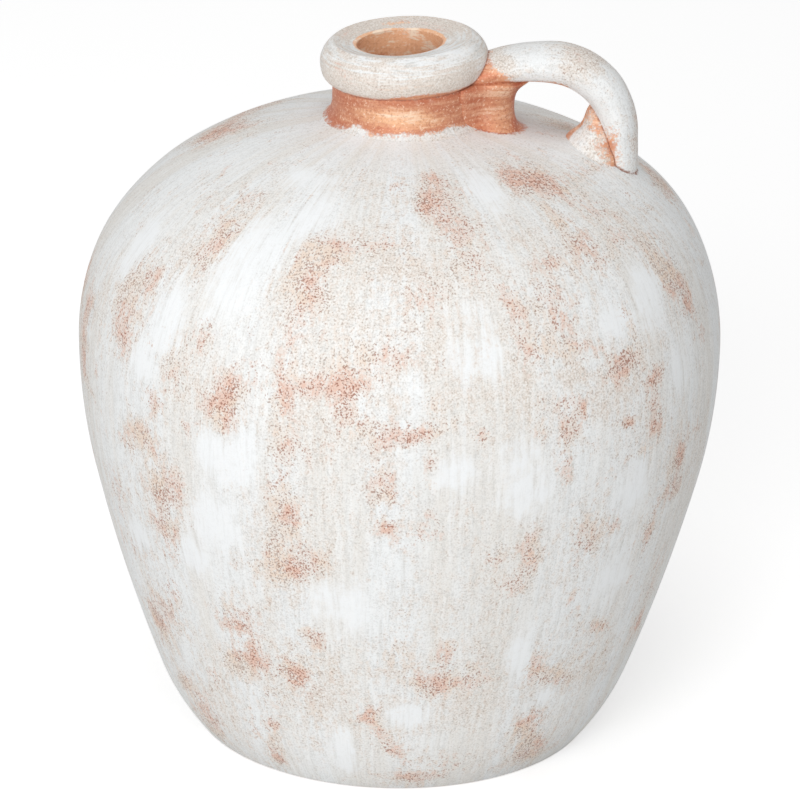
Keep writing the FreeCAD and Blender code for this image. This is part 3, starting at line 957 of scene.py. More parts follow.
# Worn patches that face the front and sides, each strength's about from the left to the right.
WORN = tuple(Patch(*row, strength=strength) for strength, rows in {
    STRONG: (
        (-77, 190, 3, 13), (-61, 228, 4.2, 12), (-60, 70, 5, 10), (-58, 40, 2.5, 4, 20), (-51, 172, 3.5, 6),
        (-46, 151, 3.8, 7), (-30, 206, 2.8, 8), (-32, 197, 2.8, 7, 10), (-35, 68, 3.4, 7, 20),
        (-29, 74, 3.4, 7, 30), (-21, 71, 3.2, 7), (-29, 36, 2, 5), (-31, 12, 2.2, 6), (-17, 271, 4.5, 8),
        (-21, 262, 3.6, 12), (-18, 250, 4, 7), (-19, 152, 3, 9), (-22, 133, 2, 9), (-19, 128, 3.6, 5),
        (-14, 134, 2.4, 7), (-10, 214, 4.2, 5), (-10, 206, 2, 4), (-5, 51, 3.4, 5), (-1.5, 168, 1.6, 3),
        (-1.5, 153, 2, 3.5), (4, 196, 5, 3, -20), (6, 184, 1.2, 3), (7, 303, 2.6, 7),
        (14.5, 194, 1.4, 3, -30), (8, 69, 4.4, 7), (25, 133, 2, 14), (30, 204, 2.2, 3), (33.5, 198, 1.2, 6),
        (30, 195, 1.2, 5), (31, 190, 2, 3), (33, 39, 3.6, 6, -20), (35, 23, 4.2, 10), (41, 311, 4.4, 8, 10),
        (48, 306, 7, 9, 10), (42.5, 281, 2.4, 4), (44, 214, 4, 5, -20), (51, 203, 2.8, 3.5, -25),
        (43.5, 188, 1.8, 2.5), (51, 181, 1.8, 4), (60.5, 160, 1.8, 6), (61, 142, 2.4, 5), (66, 68, 2.8, 7),
        (61, 248, 3.4, 8), (63, 238, 3.8, 8), (66, 225, 2.6, 7, 10),
    ),
    MIDDLING: (
        (-76, 210, 2.5, 7), (-58, 211, 2.8, 9, 10), (-56, 238, 3, 7), (-44, 268, 4.5, 14, 5),
        (-55, 83, 4.5, 6, 30), (-55, 26, 5, 13), (-55, 12, 4, 5, 20), (-56, 165, 2.5, 4),
        (-47, 166, 2.5, 6, 10), (-42, 156, 2, 8), (-47, 132, 3.5, 9), (-44, 211, 3.5, 9),
        (-38, 226, 2.6, 8), (-31, 190, 2, 4), (-33, 92, 5, 9), (-30, 27, 2, 5), (-20, 212, 1.8, 12),
        (-20, 186, 2.6, 9), (-20, 166, 2.4, 9), (-16, 92, 2.8, 8), (-15, 214, 2.6, 4), (-3, 197, 7, 5),
        (-3, 41, 1.8, 6), (0, 32, 2, 6, -20), (5, 10, 4, 4), (-2.5, 175, 2.2, 6), (6, 209, 1.6, 5),
        (12, 316, 4, 7), (12, 300, 4, 9), (15, 284, 5, 9), (15, 268, 4, 8), (11, 88, 2, 12),
        (16, 70, 3.5, 7), (18, 138, 2.4, 6), (22, 120, 3, 6), (25, 197, 1.2, 8), (23, 249, 3, 8),
        (30, 250, 3, 7), (31, 240, 3, 5), (24, 230, 3, 7), (31, 228, 3.5, 6), (35, 262, 5, 4, 15),
        (30, 178, 1.8, 8), (40, 14, 4, 6), (38, 62, 4, 5, 20), (31, 70, 3, 7), (37, 136, 2.8, 12),
        (43, 140, 1.5, 4), (42, 290, 2.6, 5), (43, 270, 3.5, 5), (52, 296, 4, 6), (50.5, 192, 2, 6),
        (48, 172, 2.2, 3), (47, 84, 4.5, 3.5, 25), (54.5, 130, 1.8, 14), (64, 258, 3, 5),
    ),
    FAINT: (
        (-72, 176, 3, 3, 30), (-49, 288, 5, 10, -10), (-44, 250, 3.5, 9), (-62, 137, 5, 7, 20),
        (-58, 110, 3.5, 9), (-47, 118, 3, 8), (-50, 20, 4, 10), (-40, 200, 3, 6), (-26, 55, 5, 6),
        (-25, 125, 4, 8), (-20, 234, 2, 8), (-11, 222, 5, 3), (-6, 277, 8, 4, -10), (-4, 229, 8, 8),
        (6, 157, 1.4, 6), (6, 252, 9, 12), (20, 308, 3, 6), (12, 218, 1.6, 6), (20, 72, 3, 6),
        (11, 18, 9, 11), (20, 153, 2.4, 3), (36, 246, 2.4, 8), (37, 222, 3, 6), (31, 82, 3, 5),
        (54, 264, 5, 6), (47, 258, 5, 6), (44, 74, 5, 4), (49, 66, 4, 5), (59, 150, 3, 10), (64, 90, 4, 9),
        (67, 166, 4, 4), (58, 285, 9, 9), (72, 300, 12, 5),
    ),
}.items() for row in rows)

# Wide places where the whitewash is thin and lets a beige through.
THIN = tuple(Patch(*row) for row in (
    (-8, 268, 12, 26, 0, 0.55), (10, 235, 13, 30, 0, 0.60), (-8, 200, 13, 16, 0, 0.50),
    (32, 240, 12, 26, 0, 0.55), (38, 200, 14, 20, 0, 0.50), (-46, 262, 9, 32, 5, 0.60),
    (-66, 225, 8, 20, 0, 0.40), (-20, 150, 9, 32, 0, 0.50), (-28, 75, 14, 22, 0, 0.50),
    (12, 62, 14, 20, 0, 0.55), (42, 62, 14, 22, 0, 0.50), (50, 290, 20, 18, 0, 0.45),
    (-46, 150, 8, 24, 0, 0.45), (28, 130, 13, 20, 0, 0.40), (62, 145, 10, 24, 0, 0.45),
    (-12, 45, 10, 24, 0, 0.40), (-52, 30, 12, 22, 0, 0.45), (10, 105, 8, 20, 0, 0.40),
    (65, 250, 8, 26, 0, 0.50), (-20, 310, 26, 8, 0, 0.35),
))

# Places where the whitewash lies thick.
THICK = tuple(Patch(*row) for row in (
    (-48, 228, 4.5, 16), (-51, 204, 3.5, 8), (-36, 246, 6, 16), (-31, 268, 6, 14), (-33, 146, 5.5, 18),
    (-27, 182, 3.5, 18), (-34, 176, 3, 12), (-9, 110, 8, 14), (4, 52, 6, 8), (-12, 28, 4, 14),
    (24, 168, 5, 17), (28, 308, 6.5, 14), (27, 80, 3, 24), (55, 240, 5, 14), (43, 232, 5, 9),
    (15, 228, 5, 15, 0, 0.6), (14, 248, 5, 6, 0, 0.6), (3, 214, 3, 9, 0, 0.8), (-24, 290, 7, 12),
    (-66, 250, 4, 20), (-57, 118, 4, 12), (46, 112, 5, 16), (10, 178, 4, 8), (59, 202, 4, 12),
    (46, 156, 5, 16), (36, 52, 4, 6), (-40, 120, 5, 10), (-36, 310, 10, 8),
))


def turned_round(patches: Sequence[Patch], turn: float = 176) -> list[Patch]:
    """Return the patches and a copy of them on the jug's other side."""
    return [*patches, *(replace(patch, turn=patch.turn + turn) for patch in patches)]


def spread(patches: Sequence[Patch], co: Values, along: Values, growth: float = 1.0) -> Values:
    """Return how strongly some patches cover each place on the wall.

    Args:
        patches: the patches.
        co: the places.
        along: each place's way up the wall, in metres.
        growth: how far the patches reach beyond their size, as a factor.
    Returns:
        The cover from 0 to 1.
    """
    turn, radius = turns(co), reach(co) / MM
    left = np.ones(len(co))
    for patch in patches:
        off = (turn - patch.turn + 180.0) % 360.0 - 180.0
        side = np.radians(off) * radius
        rise = along / MM - patch.along
        near = (np.abs(side) < WIDEST_PATCH) & (np.abs(rise) < WIDEST_PATCH)
        lean = math.radians(patch.lean)
        s = side[near] * math.cos(lean) - rise[near] * math.sin(lean)
        t = side[near] * math.sin(lean) + rise[near] * math.cos(lean)
        wide = math.radians(patch.half_turn) * radius[near] * growth
        square = (s / wide) ** 2 + (t / patch.half_length / growth) ** 2
        left[near] *= 1.0 - patch.strength * np.exp(-PATCH_FALL * square)
    return 1.0 - left


def behind(seed: int, count: int) -> list[Patch]:
    """Return worn patches for the side that faces away, in the manner of the front's.

    Args:
        seed: starts the random draws.
        count: how many groups of patches there are.
    Returns:
        The patches.
    """
    draw = random.Random(seed)
    made = []
    for _ in range(count):
        turn = draw.uniform(84, 276)
        along = draw.uniform(12, 318)
        strength = draw.choice((STRONG, MIDDLING, MIDDLING, FAINT))
        narrow = 90.0 / max(35.0, 140.0 - max(0.0, along - 230.0))
        for _ in range(draw.choice((1, 2, 2, 3))):
            made.append(Patch(turn + draw.uniform(-5, 5), along + draw.uniform(-14, 14),
                              draw.uniform(1.8, 4.5) * narrow * 1.3, draw.uniform(4, 14),
                              draw.uniform(-15, 15), strength))
    return made


def flecks(seed: int, count: int) -> list[Patch]:
    """Return small worn flecks all round the wall.

    Args:
        seed: starts the random draws.
        count: how many flecks there are.
    Returns:
        The flecks.
    """
    draw = random.Random(seed)
    return [Patch(draw.uniform(-180, 180), draw.uniform(8, 326), draw.uniform(0.8, 2.6),
                  draw.uniform(2.0, 7.5), draw.uniform(-35, 35), draw.uniform(0.20, 0.50))
            for _ in range(count)]


@dataclass(frozen=True)
class Body:
    """The thrown body: base slab, lower half and upper half."""

    wall: Wall = Wall()
    base_thickness: float = 0.010
    foot_ring: float = 0.009
    recess: float = 0.002
    ridge_height: float = 0.003
    ridge_share: float = 0.5
    steps: int = 384
    outer_step: float = 0.0020
    inner_step: float = 0.0042
    marks_size: float = 0.055
    marks_depth: float = 0.0005
    free_height: float = 0.035
    free_neck: float = 0.012
    sway: float = 0.0018
    sway_height: float = 0.245
    sway_reach: float = 0.022
    sway_end: float = 0.274
    sway_fade: float = 0.008
    collar_swell: float = 0.0011
    swell_reach: float = 0.0035
    mound: float = 0.0042
    mound_reach: float = 0.022
    mound_place: Spot = (0.083, -0.006)
    drip_place: Spot = (0.0490, -0.003)
    drip_reach: float = 3.4
    drip_squash: float = 1.3
    painted_above: float = 0.26
    painted_within: float = 0.065
    back_draw: tuple[int, int] = (41, 46)
    fleck_draw: tuple[int, int] = (7, 460)
    haze_round_worn: Spot = (0.60, 1.4)
    haze_where_thin: Spot = (0.72, 1.1)
    chalk_where_thick: Spot = (0.85, 0.95)
    calm_radius: float = 0.030
    calm_rake: float = 0.35

    def cover(self, patches: Sequence[Patch], co: Values, along: Values, share: Spot) -> Values:
        """Return some patches' cover times a strength, with their reach stretched by a growth.

        Args:
            patches: the patches.
            co: the places.
            along: each place's way up the wall, in metres.
            share: the strength and the growth.
        Returns:
            The cover.
        """
        strength, growth = share
        return strength * spread(patches, co, along, growth)

    def ridge(self) -> list[Spot]:
        """Return the key between the halves, from the inside out, its two ends on the wall left out."""
        middle = self.wall.belly_radius - self.wall.thickness / 2
        half = self.wall.thickness * self.ridge_share / 2
        seam = self.wall.belly_height
        return [(middle - half, seam), (middle, seam + self.ridge_height), (middle + half, seam)]

    def mark(self, piece: bpy.types.Object) -> None:
        """Leave slight unevenness on the wall, none at the foot or at the neck, and push the shoulder.

        Args:
            piece: a half of the body.
        """
        up = places(piece)[:, 2]
        below_neck = self.wall.top() + MM - up
        weights = np.clip(up / self.free_height, 0, 1) * np.clip(below_neck / self.free_neck, 0, 1)
        leave_hand_marks(piece, "throwing", self.marks_size, self.marks_depth, weights)
        self.push(piece)

    def push(self, piece: bpy.types.Object) -> None:
        """Push the shoulder a little towards the handle and raise it round the neck and the handle's foot.

        Args:
            piece: a half of the body.
        """
        co = places(piece)
        away = np.clip((self.sway_end - co[:, 2]) / self.sway_fade, 0, 1)
        co[:, 0] += self.sway * soft(co[:, 2] - self.sway_height, self.sway_reach) * away
        top = co[:, 2] > self.wall.belly_height + self.wall.shoulder_rise * 0.6
        co[:, 2] += self.collar_swell * np.exp((self.wall.hole_radius - reach(co)) / self.swell_reach) * top
        gap = np.hypot(co[:, 0] - self.mound_place[0], co[:, 1] - self.mound_place[1])
        co[:, 2] += self.mound * soft(gap, self.mound_reach) * (co[:, 2] > self.wall.belly_height)
        put(piece, co)

    def paint(self, piece: bpy.types.Object, web: bpy.types.Object,
              fitted: Sequence[bpy.types.Object]) -> None:
        """Lay wear, paint and painted shade beside fitted pieces on a part of the body.

        Args:
            piece: the part.
            web: the coppery web, whose paint spills on to the shoulder.
            fitted: the pieces beside whose edges shade is painted on the shoulder.
        """
        co = places(piece)
        along, radius = self.wall.along(co[:, 2]), reach(co)
        patches = [*WORN, *behind(*self.back_draw)]
        worn, small = spread(patches, co, along), spread(flecks(*self.fleck_draw), co, along)
        squashed = (co[:, 1] - self.drip_place[1]) * self.drip_squash
        drip = np.hypot(co[:, 0] - self.drip_place[0], squashed) / MM
        foot = self.wall.top() / MM - 0.4 - brushed_up(co) - (radius - self.wall.hole_radius) / MM
        copper = np.maximum(np.maximum(1.0 - distance_to(co, [web]), self.drip_reach - drip), foot)
        near_neck = (co[:, 2] > self.painted_above) & (radius < self.painted_within)
        # Painted shade beside the fitted pieces; no painted light on the wall.
        lay(piece, wear=np.maximum(worn, small),
            haze=np.maximum(self.cover(patches, co, along, self.haze_round_worn),
                            self.cover(turned_round(THIN), co, along, self.haze_where_thin)),
            rake=np.clip((radius - self.calm_radius) / self.calm_radius, self.calm_rake, 1.0),
            thick=self.cover(turned_round(THICK), co, along, self.chalk_where_thick),
            **self.wall.strokes(co), copper=np.where(near_neck, copper, -FAR),
            crease=painted_shade(co, fitted, 0.9, 0.9), shine=0.0)

    def bare_inside(self, piece: bpy.types.Object) -> None:
        """Give the faces inside the wall, and under the foot, the piece's second material.

        Args:
            piece: a part of the body.
        """
        middles = np.zeros(len(piece.data.polygons) * 3)
        piece.data.polygons.foreach_get("center", middles)
        middles = middles.reshape(-1, 3)
        inside = reach(middles) < self.wall.radius_at(middles[:, 2]) - self.wall.thickness / 2
        piece.data.polygons.foreach_set("material_index", inside.astype(np.int32))

    def make_base(self) -> bpy.types.Object:
        """Turn the base slab with its foot ring."""
        wall = self.wall
        ring = wall.foot_radius - self.foot_ring
        spots = [(ring * share / 6, self.recess) for share in range(7)] + [(ring, 0.0)]
        spots += wall.line(0.0, 0.0, self.base_thickness, self.outer_step)
        spots += [(spots[-1][0] * share / 8, self.base_thickness) for share in range(7, -1, -1)]
        return turn_profile("turned_base", spots, self.steps, closed=False)

    def make_lower(self) -> bpy.types.Object:
        """Turn the lower half, its bottom on the base slab and its ridge up."""
        wall = self.wall
        outside = wall.line(0.0, self.base_thickness, wall.belly_height, self.outer_step)
        inside = wall.line(wall.thickness, self.base_thickness, wall.belly_height, self.inner_step)
        piece = turn_profile("turned_lower_half", outside + self.ridge()[::-1] + inside[::-1], self.steps)
        self.mark(piece)
        return piece

    def make_upper(self) -> bpy.types.Object:
        """Turn the upper half, from the seam at the belly to the hole for the neck."""
        wall = self.wall
        outside = wall.line(0.0, wall.belly_height, wall.top(), self.outer_step)
        inside = wall.line(wall.thickness, wall.belly_height, wall.inner_top(), self.inner_step)
        piece = turn_profile("turned_upper_half", outside + inside[::-1] + self.ridge(), self.steps)
        self.mark(piece)
        return piece


# The neck and the rim

# How high the whitewash was brushed up the neck's foot: turn in degrees, height in millimetres.
BRUSHED_UP = ((-180, 278.4), (-120, 277.4), (-81, 277.2), (-63, 276.6), (-50, 278.2), (-35, 279.9),
              (-28, 278.2), (-10, 278.8), (6, 279.3), (27, 279.1), (41, 280.5), (62, 278.6), (100, 277.0),
              (140, 278.0), (180, 278.4))


def brushed_up(co: Values) -> Values:
    """Return how high the whitewash was brushed at each place's turn, in millimetres."""
    return np.interp(turns(co), *zip(*BRUSHED_UP))


@dataclass(frozen=True)
class Smear:
    """A smear on the rim: its turn in degrees, its height in millimetres, their spreads, its strength."""

    turn: float
    turn_spread: float
    rise: float
    rise_spread: float
    strength: float

    def on(self, turn: Values, rise: Values) -> Values:
        """Return the smear's strength at each place on the rim."""
        across = soft(turn - self.turn, self.turn_spread)
        return self.strength * across * soft(rise - self.rise, self.rise_spread)


@dataclass(frozen=True)
class Neck:
    """The collar with its spreading foot and the rolled rim on its leaning top."""

    wall: Wall = Wall()
    radius: float = 0.031
    bore: float = 0.0185
    flare_rise: float = 0.009
    flare_reach: float = 0.0055
    foot_lift: float = 0.0011
    height: float = 0.0185
    plug_depth: float = 0.0068
    rim_radius: float = 0.0362
    rim_height: float = 0.0182
    full_share: float = 0.46
    ridge_share: float = 0.82
    dip: float = 0.002
    lip_round: float = 0.0045
    tilt: float = math.radians(3.5)
    mouth_shift: float = 0.0016
    mouth_reach: float = 0.011
    steps: int = 192
    marks_size: float = 0.018
    marks_depth: float = 0.0009
    free_foot: float = 0.005
    free_crest: float = 0.004
    crest_spared: float = 0.0012
    smears: tuple[Smear, ...] = (Smear(8, 55, 4.5, 5.0, 0.66), Smear(-45, 30, 7.0, 6.0, 0.40),
                                 Smear(44, 16, 8.0, 6.0, 0.45))
    blush: Smear = Smear(-9, 16, 8.0, 2.6, 0.34)
    fresh: Smear = Smear(50, 60, 17.0, 4.0, 0.6)
    chips: Smear = Smear(0, 24, 14.5, 4.0, 5.6)
    # Painted highlight across the collar's front: turn, spread, height, spread and strength.
    painted_highlight: Smear = Smear(-4, 40, 285.5, 5.0, 1.25)
    outside_from: float = 0.0295
    mouth_within: float = 0.0245
    painted_lip: float = 0.0197
    upper_side: float = 11.0
    painted_to: float = 295.6
    # Least and most painted highlight on the collar, and the painted highlight in its bore.
    least_painted_highlight: float = 0.03
    most_painted_highlight: float = 1.15
    bore_painted_highlight: float = 1.3

    def seat(self) -> float:
        """Return the height of the rim's seat on the axis."""
        return self.wall.top() + self.height

    def make_collar(self) -> bpy.types.Object:
        """Turn the collar, its foot spreading into the shoulder, and lean its top."""
        hole, top, bore, wide = self.wall.top(), self.seat(), self.bore, self.wall.hole_radius
        out, rise = self.flare_reach, self.flare_rise - self.foot_lift
        centre = (self.radius + out, hole + self.flare_rise)
        sweep = math.acos((out - wide + self.radius) / out)
        drop = rise / math.sin(sweep)
        turned = [math.pi + sweep * (1 - number / 12) for number in range(13)]
        spots = [(centre[0] + out * math.cos(angle), centre[1] + drop * math.sin(angle)) for angle in turned]
        spots += [(self.radius, spots[-1][1] + (top - spots[-1][1]) * share / 8) for share in range(1, 9)]
        spots += [(self.radius + (bore - self.radius) * share / 4, top) for share in range(1, 4)]
        plug = hole - self.plug_depth
        spots += [(bore, top + (plug - top) * share / 18) for share in range(19)]
        spots += [(bore + (wide - bore) * share / 4, plug) for share in range(1, 5)]
        spots += [(wide, plug + self.plug_depth / 2)]
        piece = turn_profile("turned_collar", spots, self.steps)
        take_up(piece)
        bpy.ops.object.mode_set(mode="EDIT")
        pick(lambda co: co.z > top - CLOSE)
        shape = bmesh.from_edit_mesh(piece.data)
        for vertex in shape.verts:
            if vertex.select:
                vertex.co.z += vertex.co.x * math.tan(self.tilt)
        bmesh.update_edit_mesh(piece.data)
        bpy.ops.object.mode_set(mode="OBJECT")
        return piece

    def rim_profile(self) -> list[Spot]:
        """Return the rim's section about its own axis, its seat at zero."""
        full = Vector((self.rim_radius, self.rim_height * self.full_share))
        ridge = Vector((self.rim_radius * self.ridge_share, self.rim_height))
        seat = Vector((self.radius, 0.0))
        spots = []
        for start, end in ((full, seat), (full, ridge)):
            chord = end - start
            radius = -chord.dot(chord) / (2 * chord.x)
            centre = start - Vector((radius, 0.0))
            last = math.atan2(end.y - centre.y, end.x - centre.x)
            arc = [centre + Vector((math.cos(last * share / 12), math.sin(last * share / 12))) * radius
                   for share in range(13)]
            spots = arc[::-1] if not spots else spots + arc[1:]
        lip = Vector((self.bore + self.lip_round / 2, self.rim_height - self.dip))
        spots += [ridge.lerp(lip, share / 6) for share in range(1, 7)]
        centre = lip - Vector((0.0, self.lip_round))
        last = math.acos((self.bore - lip.x) / self.lip_round)
        spots += [centre + Vector((math.cos(angle), math.sin(angle))) * self.lip_round
                  for angle in (math.pi / 2 + (last - math.pi / 2) * share / 6 for share in range(1, 7))]
        bottom = spots[-1].y
        spots += [Vector((self.bore, bottom * (1 - share / 8))) for share in range(1, 9)]
        spots += [Vector((self.bore + (self.radius - self.bore) * share / 4, 0.0)) for share in range(1, 4)]
        return [(spot.x, spot.y) for spot in spots]

    def make_rim(self) -> bpy.types.Object:
        """Turn the rim, ease its mouth to one side and set it on the collar's leaning top."""
        piece = turn_profile("rolled_rim", self.rim_profile(), self.steps)
        take_up(piece)
        bpy.ops.object.mode_set(mode="EDIT")
        inner = self.bore + self.lip_round
        pick(lambda co: math.hypot(co.x, co.y) < inner and co.z > self.rim_height * 0.6)
        bpy.ops.transform.translate(value=(-self.mouth_shift, 0, 0), use_proportional_edit=True,
                                    proportional_edit_falloff="SMOOTH", proportional_size=self.mouth_reach)
        bpy.ops.object.mode_set(mode="OBJECT")
        up = places(piece)[:, 2]
        below_crest = self.rim_height + self.crest_spared - up
        weights = np.clip(up / self.free_foot, 0, 1) * np.clip(below_crest / self.free_crest, 0, 1)
        leave_hand_marks(piece, "rolling", self.marks_size, self.marks_depth, weights)
        self.paint_rim(piece)
        settle(piece, tilt=self.tilt, height=self.seat())
        return piece

    def paint_rim(self, piece: bpy.types.Object) -> None:
        """Lay the rim's smears, the paint in its mouth and the painted light there, while it still stands
        about its own axis.

        Args:
            piece: the rim.
        """
        co = places(piece)
        radius, turn, rise = reach(co), turns(co), co[:, 2] / MM
        outside, mouth = radius > self.outside_from, radius < self.mouth_within
        upper, from_back = rise > self.upper_side, 180.0 - np.abs(turn)
        back_top = 0.8 * soft(rise - 17.5, 3.5) * np.clip((90.0 - from_back) / 40, 0, 1)
        haze = np.clip(sum(smear.on(turn, rise) for smear in self.smears) * outside + back_top, 0, 1)
        around = stroke_drum(co, self.rim_radius * RING_SHARE, co[:, 2] + np.maximum(0.030 - radius, 0.0))

        gap = np.hypot(co[:, 0] + self.mouth_shift * (rise > 12.0), co[:, 1])
        limit = self.painted_lip + 0.0011 * soft(from_back, 60.0)
        lip = np.where(upper, np.minimum((limit - gap) / MM * 3.0, 6.0), FAR)
        streaks = 3.2 * soft(turn % 360.0 - 187.0, 34.0) - 2.6 - 0.6 * np.abs(radius - 0.0243) / MM
        underside = 1.0 - 1.1 * rise + 2.4 * soft(turn - 12, 22)
        painted = np.where(mouth, lip - self.chips.on(from_back + 4.0, rise), underside)
        # Painted light in the mouth: painted highlight high on the far wall, painted shade lower down and
        # towards the sides.
        lit = (rise - 1.0 - 6.0 * np.abs(np.sin(np.radians(turn)))) / 4.0
        lay(piece, haze=0.42 + haze, wear=0.02 + 0.19 * haze + self.blush.on(turn, rise) * outside, rake=2.4,
            thick=self.fresh.on(turn, rise), strokes=around, sweep=around,
            copper=np.where(upper, np.maximum(painted, streaks), painted),
            shine=np.where(mouth, 2.0 * np.clip(lit, -0.5, 1), 0.3))

    def paint_collar(self, piece: bpy.types.Object, fitted: Sequence[bpy.types.Object]) -> None:
        """Lay the coppery paint, the whitewash brushed up its foot, painted shade in its corners and painted
        highlights.

        Args:
            piece: the collar.
            fitted: the pieces beside whose edges shade is painted on it.
        """
        co = places(piece)
        rise = co[:, 2] / MM
        outside = reach(co) > self.radius - MM
        low = rise - brushed_up(co) - 0.4
        high = self.painted_to + co[:, 0] / MM * math.tan(self.tilt) - rise
        # Painted highlight: a bright band across the collar's front, fainter round its sides.
        painted_highlight = np.clip(self.least_painted_highlight + self.painted_highlight.on(turns(co), rise), 0, self.most_painted_highlight)
        layers = self.wall.strokes(co) | {"sweep": stroke_drum(co, self.radius * RING_SHARE, co[:, 2])}
        # Painted shade beside the rim; painted highlight outside and, stronger, in the bore.
        lay(piece, copper=np.where(outside, np.minimum(low, high), FAR), wear=0.15, haze=0.30, rake=1.0,
            thick=0.0, **layers, crease=painted_shade(co, fitted, 0.75, 0.9),
            shine=np.where(outside, painted_highlight, self.bore_painted_highlight))


# The handle


@dataclass(frozen=True)
class Handle:
    """The pulled strap and the two lutings that hold it, drawn towards +X and then turned."""

    neck: Neck = Neck()
    turn: float = math.radians(4.0)
    reach: float = 0.092
    rise: float = 0.0283
    arch_drop: float = 0.0085
    bend: float = 0.030
    drop_lean: float = 0.0012
    drop_end: float = 0.2532
    end_tilt: float = math.radians(119)
    tuck_from: float = 0.55
    width: float = 0.0272
    drop_width: float = 0.0205
    stations: int = 26
    strap_corners: int = 20
    strap_marks: Spot = (0.020, 0.0009)
    thicknesses: tuple[Spot, ...] = ((0.0, 0.0125), (0.12, 0.0132), (0.25, 0.0155), (0.40, 0.0174),
                                     (0.55, 0.0180), (1.0, 0.0158))
    web_corners: int = 24
    web_marks: Spot = (0.011, 0.0012)
    web_start: float = 0.0215
    web_levels: tuple[tuple[float, float, float], ...] = (
        (-0.0075, 0.0560, 0.0150), (-0.0050, 0.0535, 0.0138), (-0.0025, 0.0508, 0.0126),
        (0.0005, 0.0484, 0.0117), (0.0045, 0.0472, 0.0111), (0.0095, 0.0469, 0.0110),
        (0.0132, 0.0476, 0.0119), (0.0165, 0.0496, 0.0131), (0.0192, 0.0528, 0.0139),
        (0.0218, 0.0560, 0.0136))
    web_centre: float = 0.0365
    web_reach: float = 0.0115
    web_spread: float = 9000.0
    pad_corners: int = 20
    pad_marks: Spot = (0.009, 0.0016)
    pad_levels: tuple[tuple[float, ...], ...] = (
        (0.0835, 0.2560, 0.0185, 0.0180, 28), (0.0830, 0.2595, 0.0168, 0.0162, 27),
        (0.0828, 0.2640, 0.0150, 0.0146, 24), (0.0828, 0.2690, 0.0126, 0.0134, 16),
        (0.0830, 0.2730, 0.0105, 0.0116, 8), (0.0842, 0.2765, 0.0082, 0.0092, 4),
        (0.0852, 0.2812, 0.0074, 0.0068, 2), (0.0862, 0.2866, 0.0068, 0.0050, 0),
        (0.0870, 0.2912, 0.0040, 0.0028, 0))
    pull_share: float = 0.017
    root_edge: tuple[Spot, ...] = ((290, 51), (294.5, 48.5), (298, 45.5), (302, 43), (304, 38.5), (307.5, 34),
                                   (310, 30))
    # Painted shade down the web's nose below a height, under the strap.
    web_nose: float = 0.0480
    nose_reach: float = 0.0018
    nose_top: float = 0.297
    # Painted highlight on the handle's coppery paint, growing out from the neck over a reach.
    root_painted_highlight: float = 0.12
    strap_painted_highlight: float = 0.43
    painted_highlight_reach: float = 0.011
    pad_back: float = 0.0865

    def line(self, count: int) -> list[tuple[float, float, float, float]]:
        """Return the strap's middle line.

        Args:
            count: how many stations the line has.
        Returns:
            For each station its place across and up, its tilt, and its way along as a share.
        """
        crown = self.neck.wall.top() + self.rise
        elbow = self.reach - self.bend
        span = elbow - (self.neck.radius + self.neck.bore) / 2
        arch = (span ** 2 + self.arch_drop ** 2) / (2 * self.arch_drop)
        lean = math.asin(span / arch)
        over, round_bend, down = (arch * lean, self.bend * math.pi / 2, crown - self.bend - self.drop_end)
        made = []
        for number in range(count):
            share = number / (count - 1)
            gone = share * (over + round_bend + down)
            if gone < over:
                angle = -lean + gone / arch
                spot = (elbow + arch * math.sin(angle), crown - arch * (1 - math.cos(angle)))
            elif gone < over + round_bend:
                angle = (gone - over) / self.bend
                spot = (elbow + self.bend * math.sin(angle), crown - self.bend * (1 - math.cos(angle)))
            else:
                part = (gone - over - round_bend) / down
                tuck = max(0.0, (part - self.tuck_from) / (1 - self.tuck_from))
                angle = math.pi / 2 + (self.end_tilt - math.pi / 2) * tuck
                spot = (self.reach + self.drop_lean * part, crown - self.bend - down * part)
            made.append((*spot, angle, share))
        return made

    def make_strap(self) -> bpy.types.Object:
        """Draw the strap out from inside the neck, over its arch and into the shoulder."""
        sections = []
        for across, up, angle, share in self.line(self.stations):
            long = np.interp(share, *zip(*self.thicknesses))
            wide = np.interp(share, (0.3, 0.9), (self.width, self.drop_width))
            sections.append(Section(across, up, long / 2, wide / 2, math.pi / 2 + angle))
        piece = draw_out("pulled_strap", sections, self.strap_corners)
        leave_hand_marks(piece, "pulling", *self.strap_marks)
        settle(piece, turn=self.turn)
        return piece

    def make_web(self) -> bpy.types.Object:
        """Fill the corner between neck, shoulder and strap with a web of clay."""
        start, hole = self.web_start, self.neck.wall.top()
        sections = [Section((start + nose) / 2, hole + up, (nose - start) / 2, half, 0.0)
                    for up, nose, half in self.web_levels]
        piece = draw_out("luting_web", sections, self.web_corners)
        co = places(piece)
        co[:, 1] *= 1.0 + self.web_spread * np.clip(self.web_centre - co[:, 0], 0.0, self.web_reach) ** 2
        put(piece, co)
        leave_hand_marks(piece, "pressing", *self.web_marks)
        settle(piece, turn=self.turn)
        return piece

    def make_pad(self) -> bpy.types.Object:
        """Press a pad of clay into the strap's foot, on the side of the neck."""
        sections = [Section(*sizes, math.radians(tilt)) for *sizes, tilt in self.pad_levels]
        piece = draw_out("luting_pad", sections, self.pad_corners)
        leave_hand_marks(piece, "thumbing", *self.pad_marks)
        settle(piece, turn=self.turn)
        return piece

    def along_strap(self, co: Values) -> tuple[Values, Values, Values]:
        """Return where each vertex is on the strap.

        Args:
            co: the vertices.
        Returns:
            The way along from 0 to 1, the side outwards from the middle line in metres (out of the
            loop is positive), and the side across in metres.
        """
        line = np.array(self.line(160))
        flat = np.stack([co[:, 0] * math.cos(self.turn) - co[:, 1] * math.sin(self.turn), co[:, 2]], 1)
        across = co[:, 0] * math.sin(self.turn) + co[:, 1] * math.cos(self.turn)
        near = ((flat[:, None, :] - line[None, :, :2]) ** 2).sum(2).argmin(1)
        angle, off = line[near, 2], flat - line[near, :2]
        return line[near, 3], off[:, 0] * np.sin(angle) + off[:, 1] * np.cos(angle), across

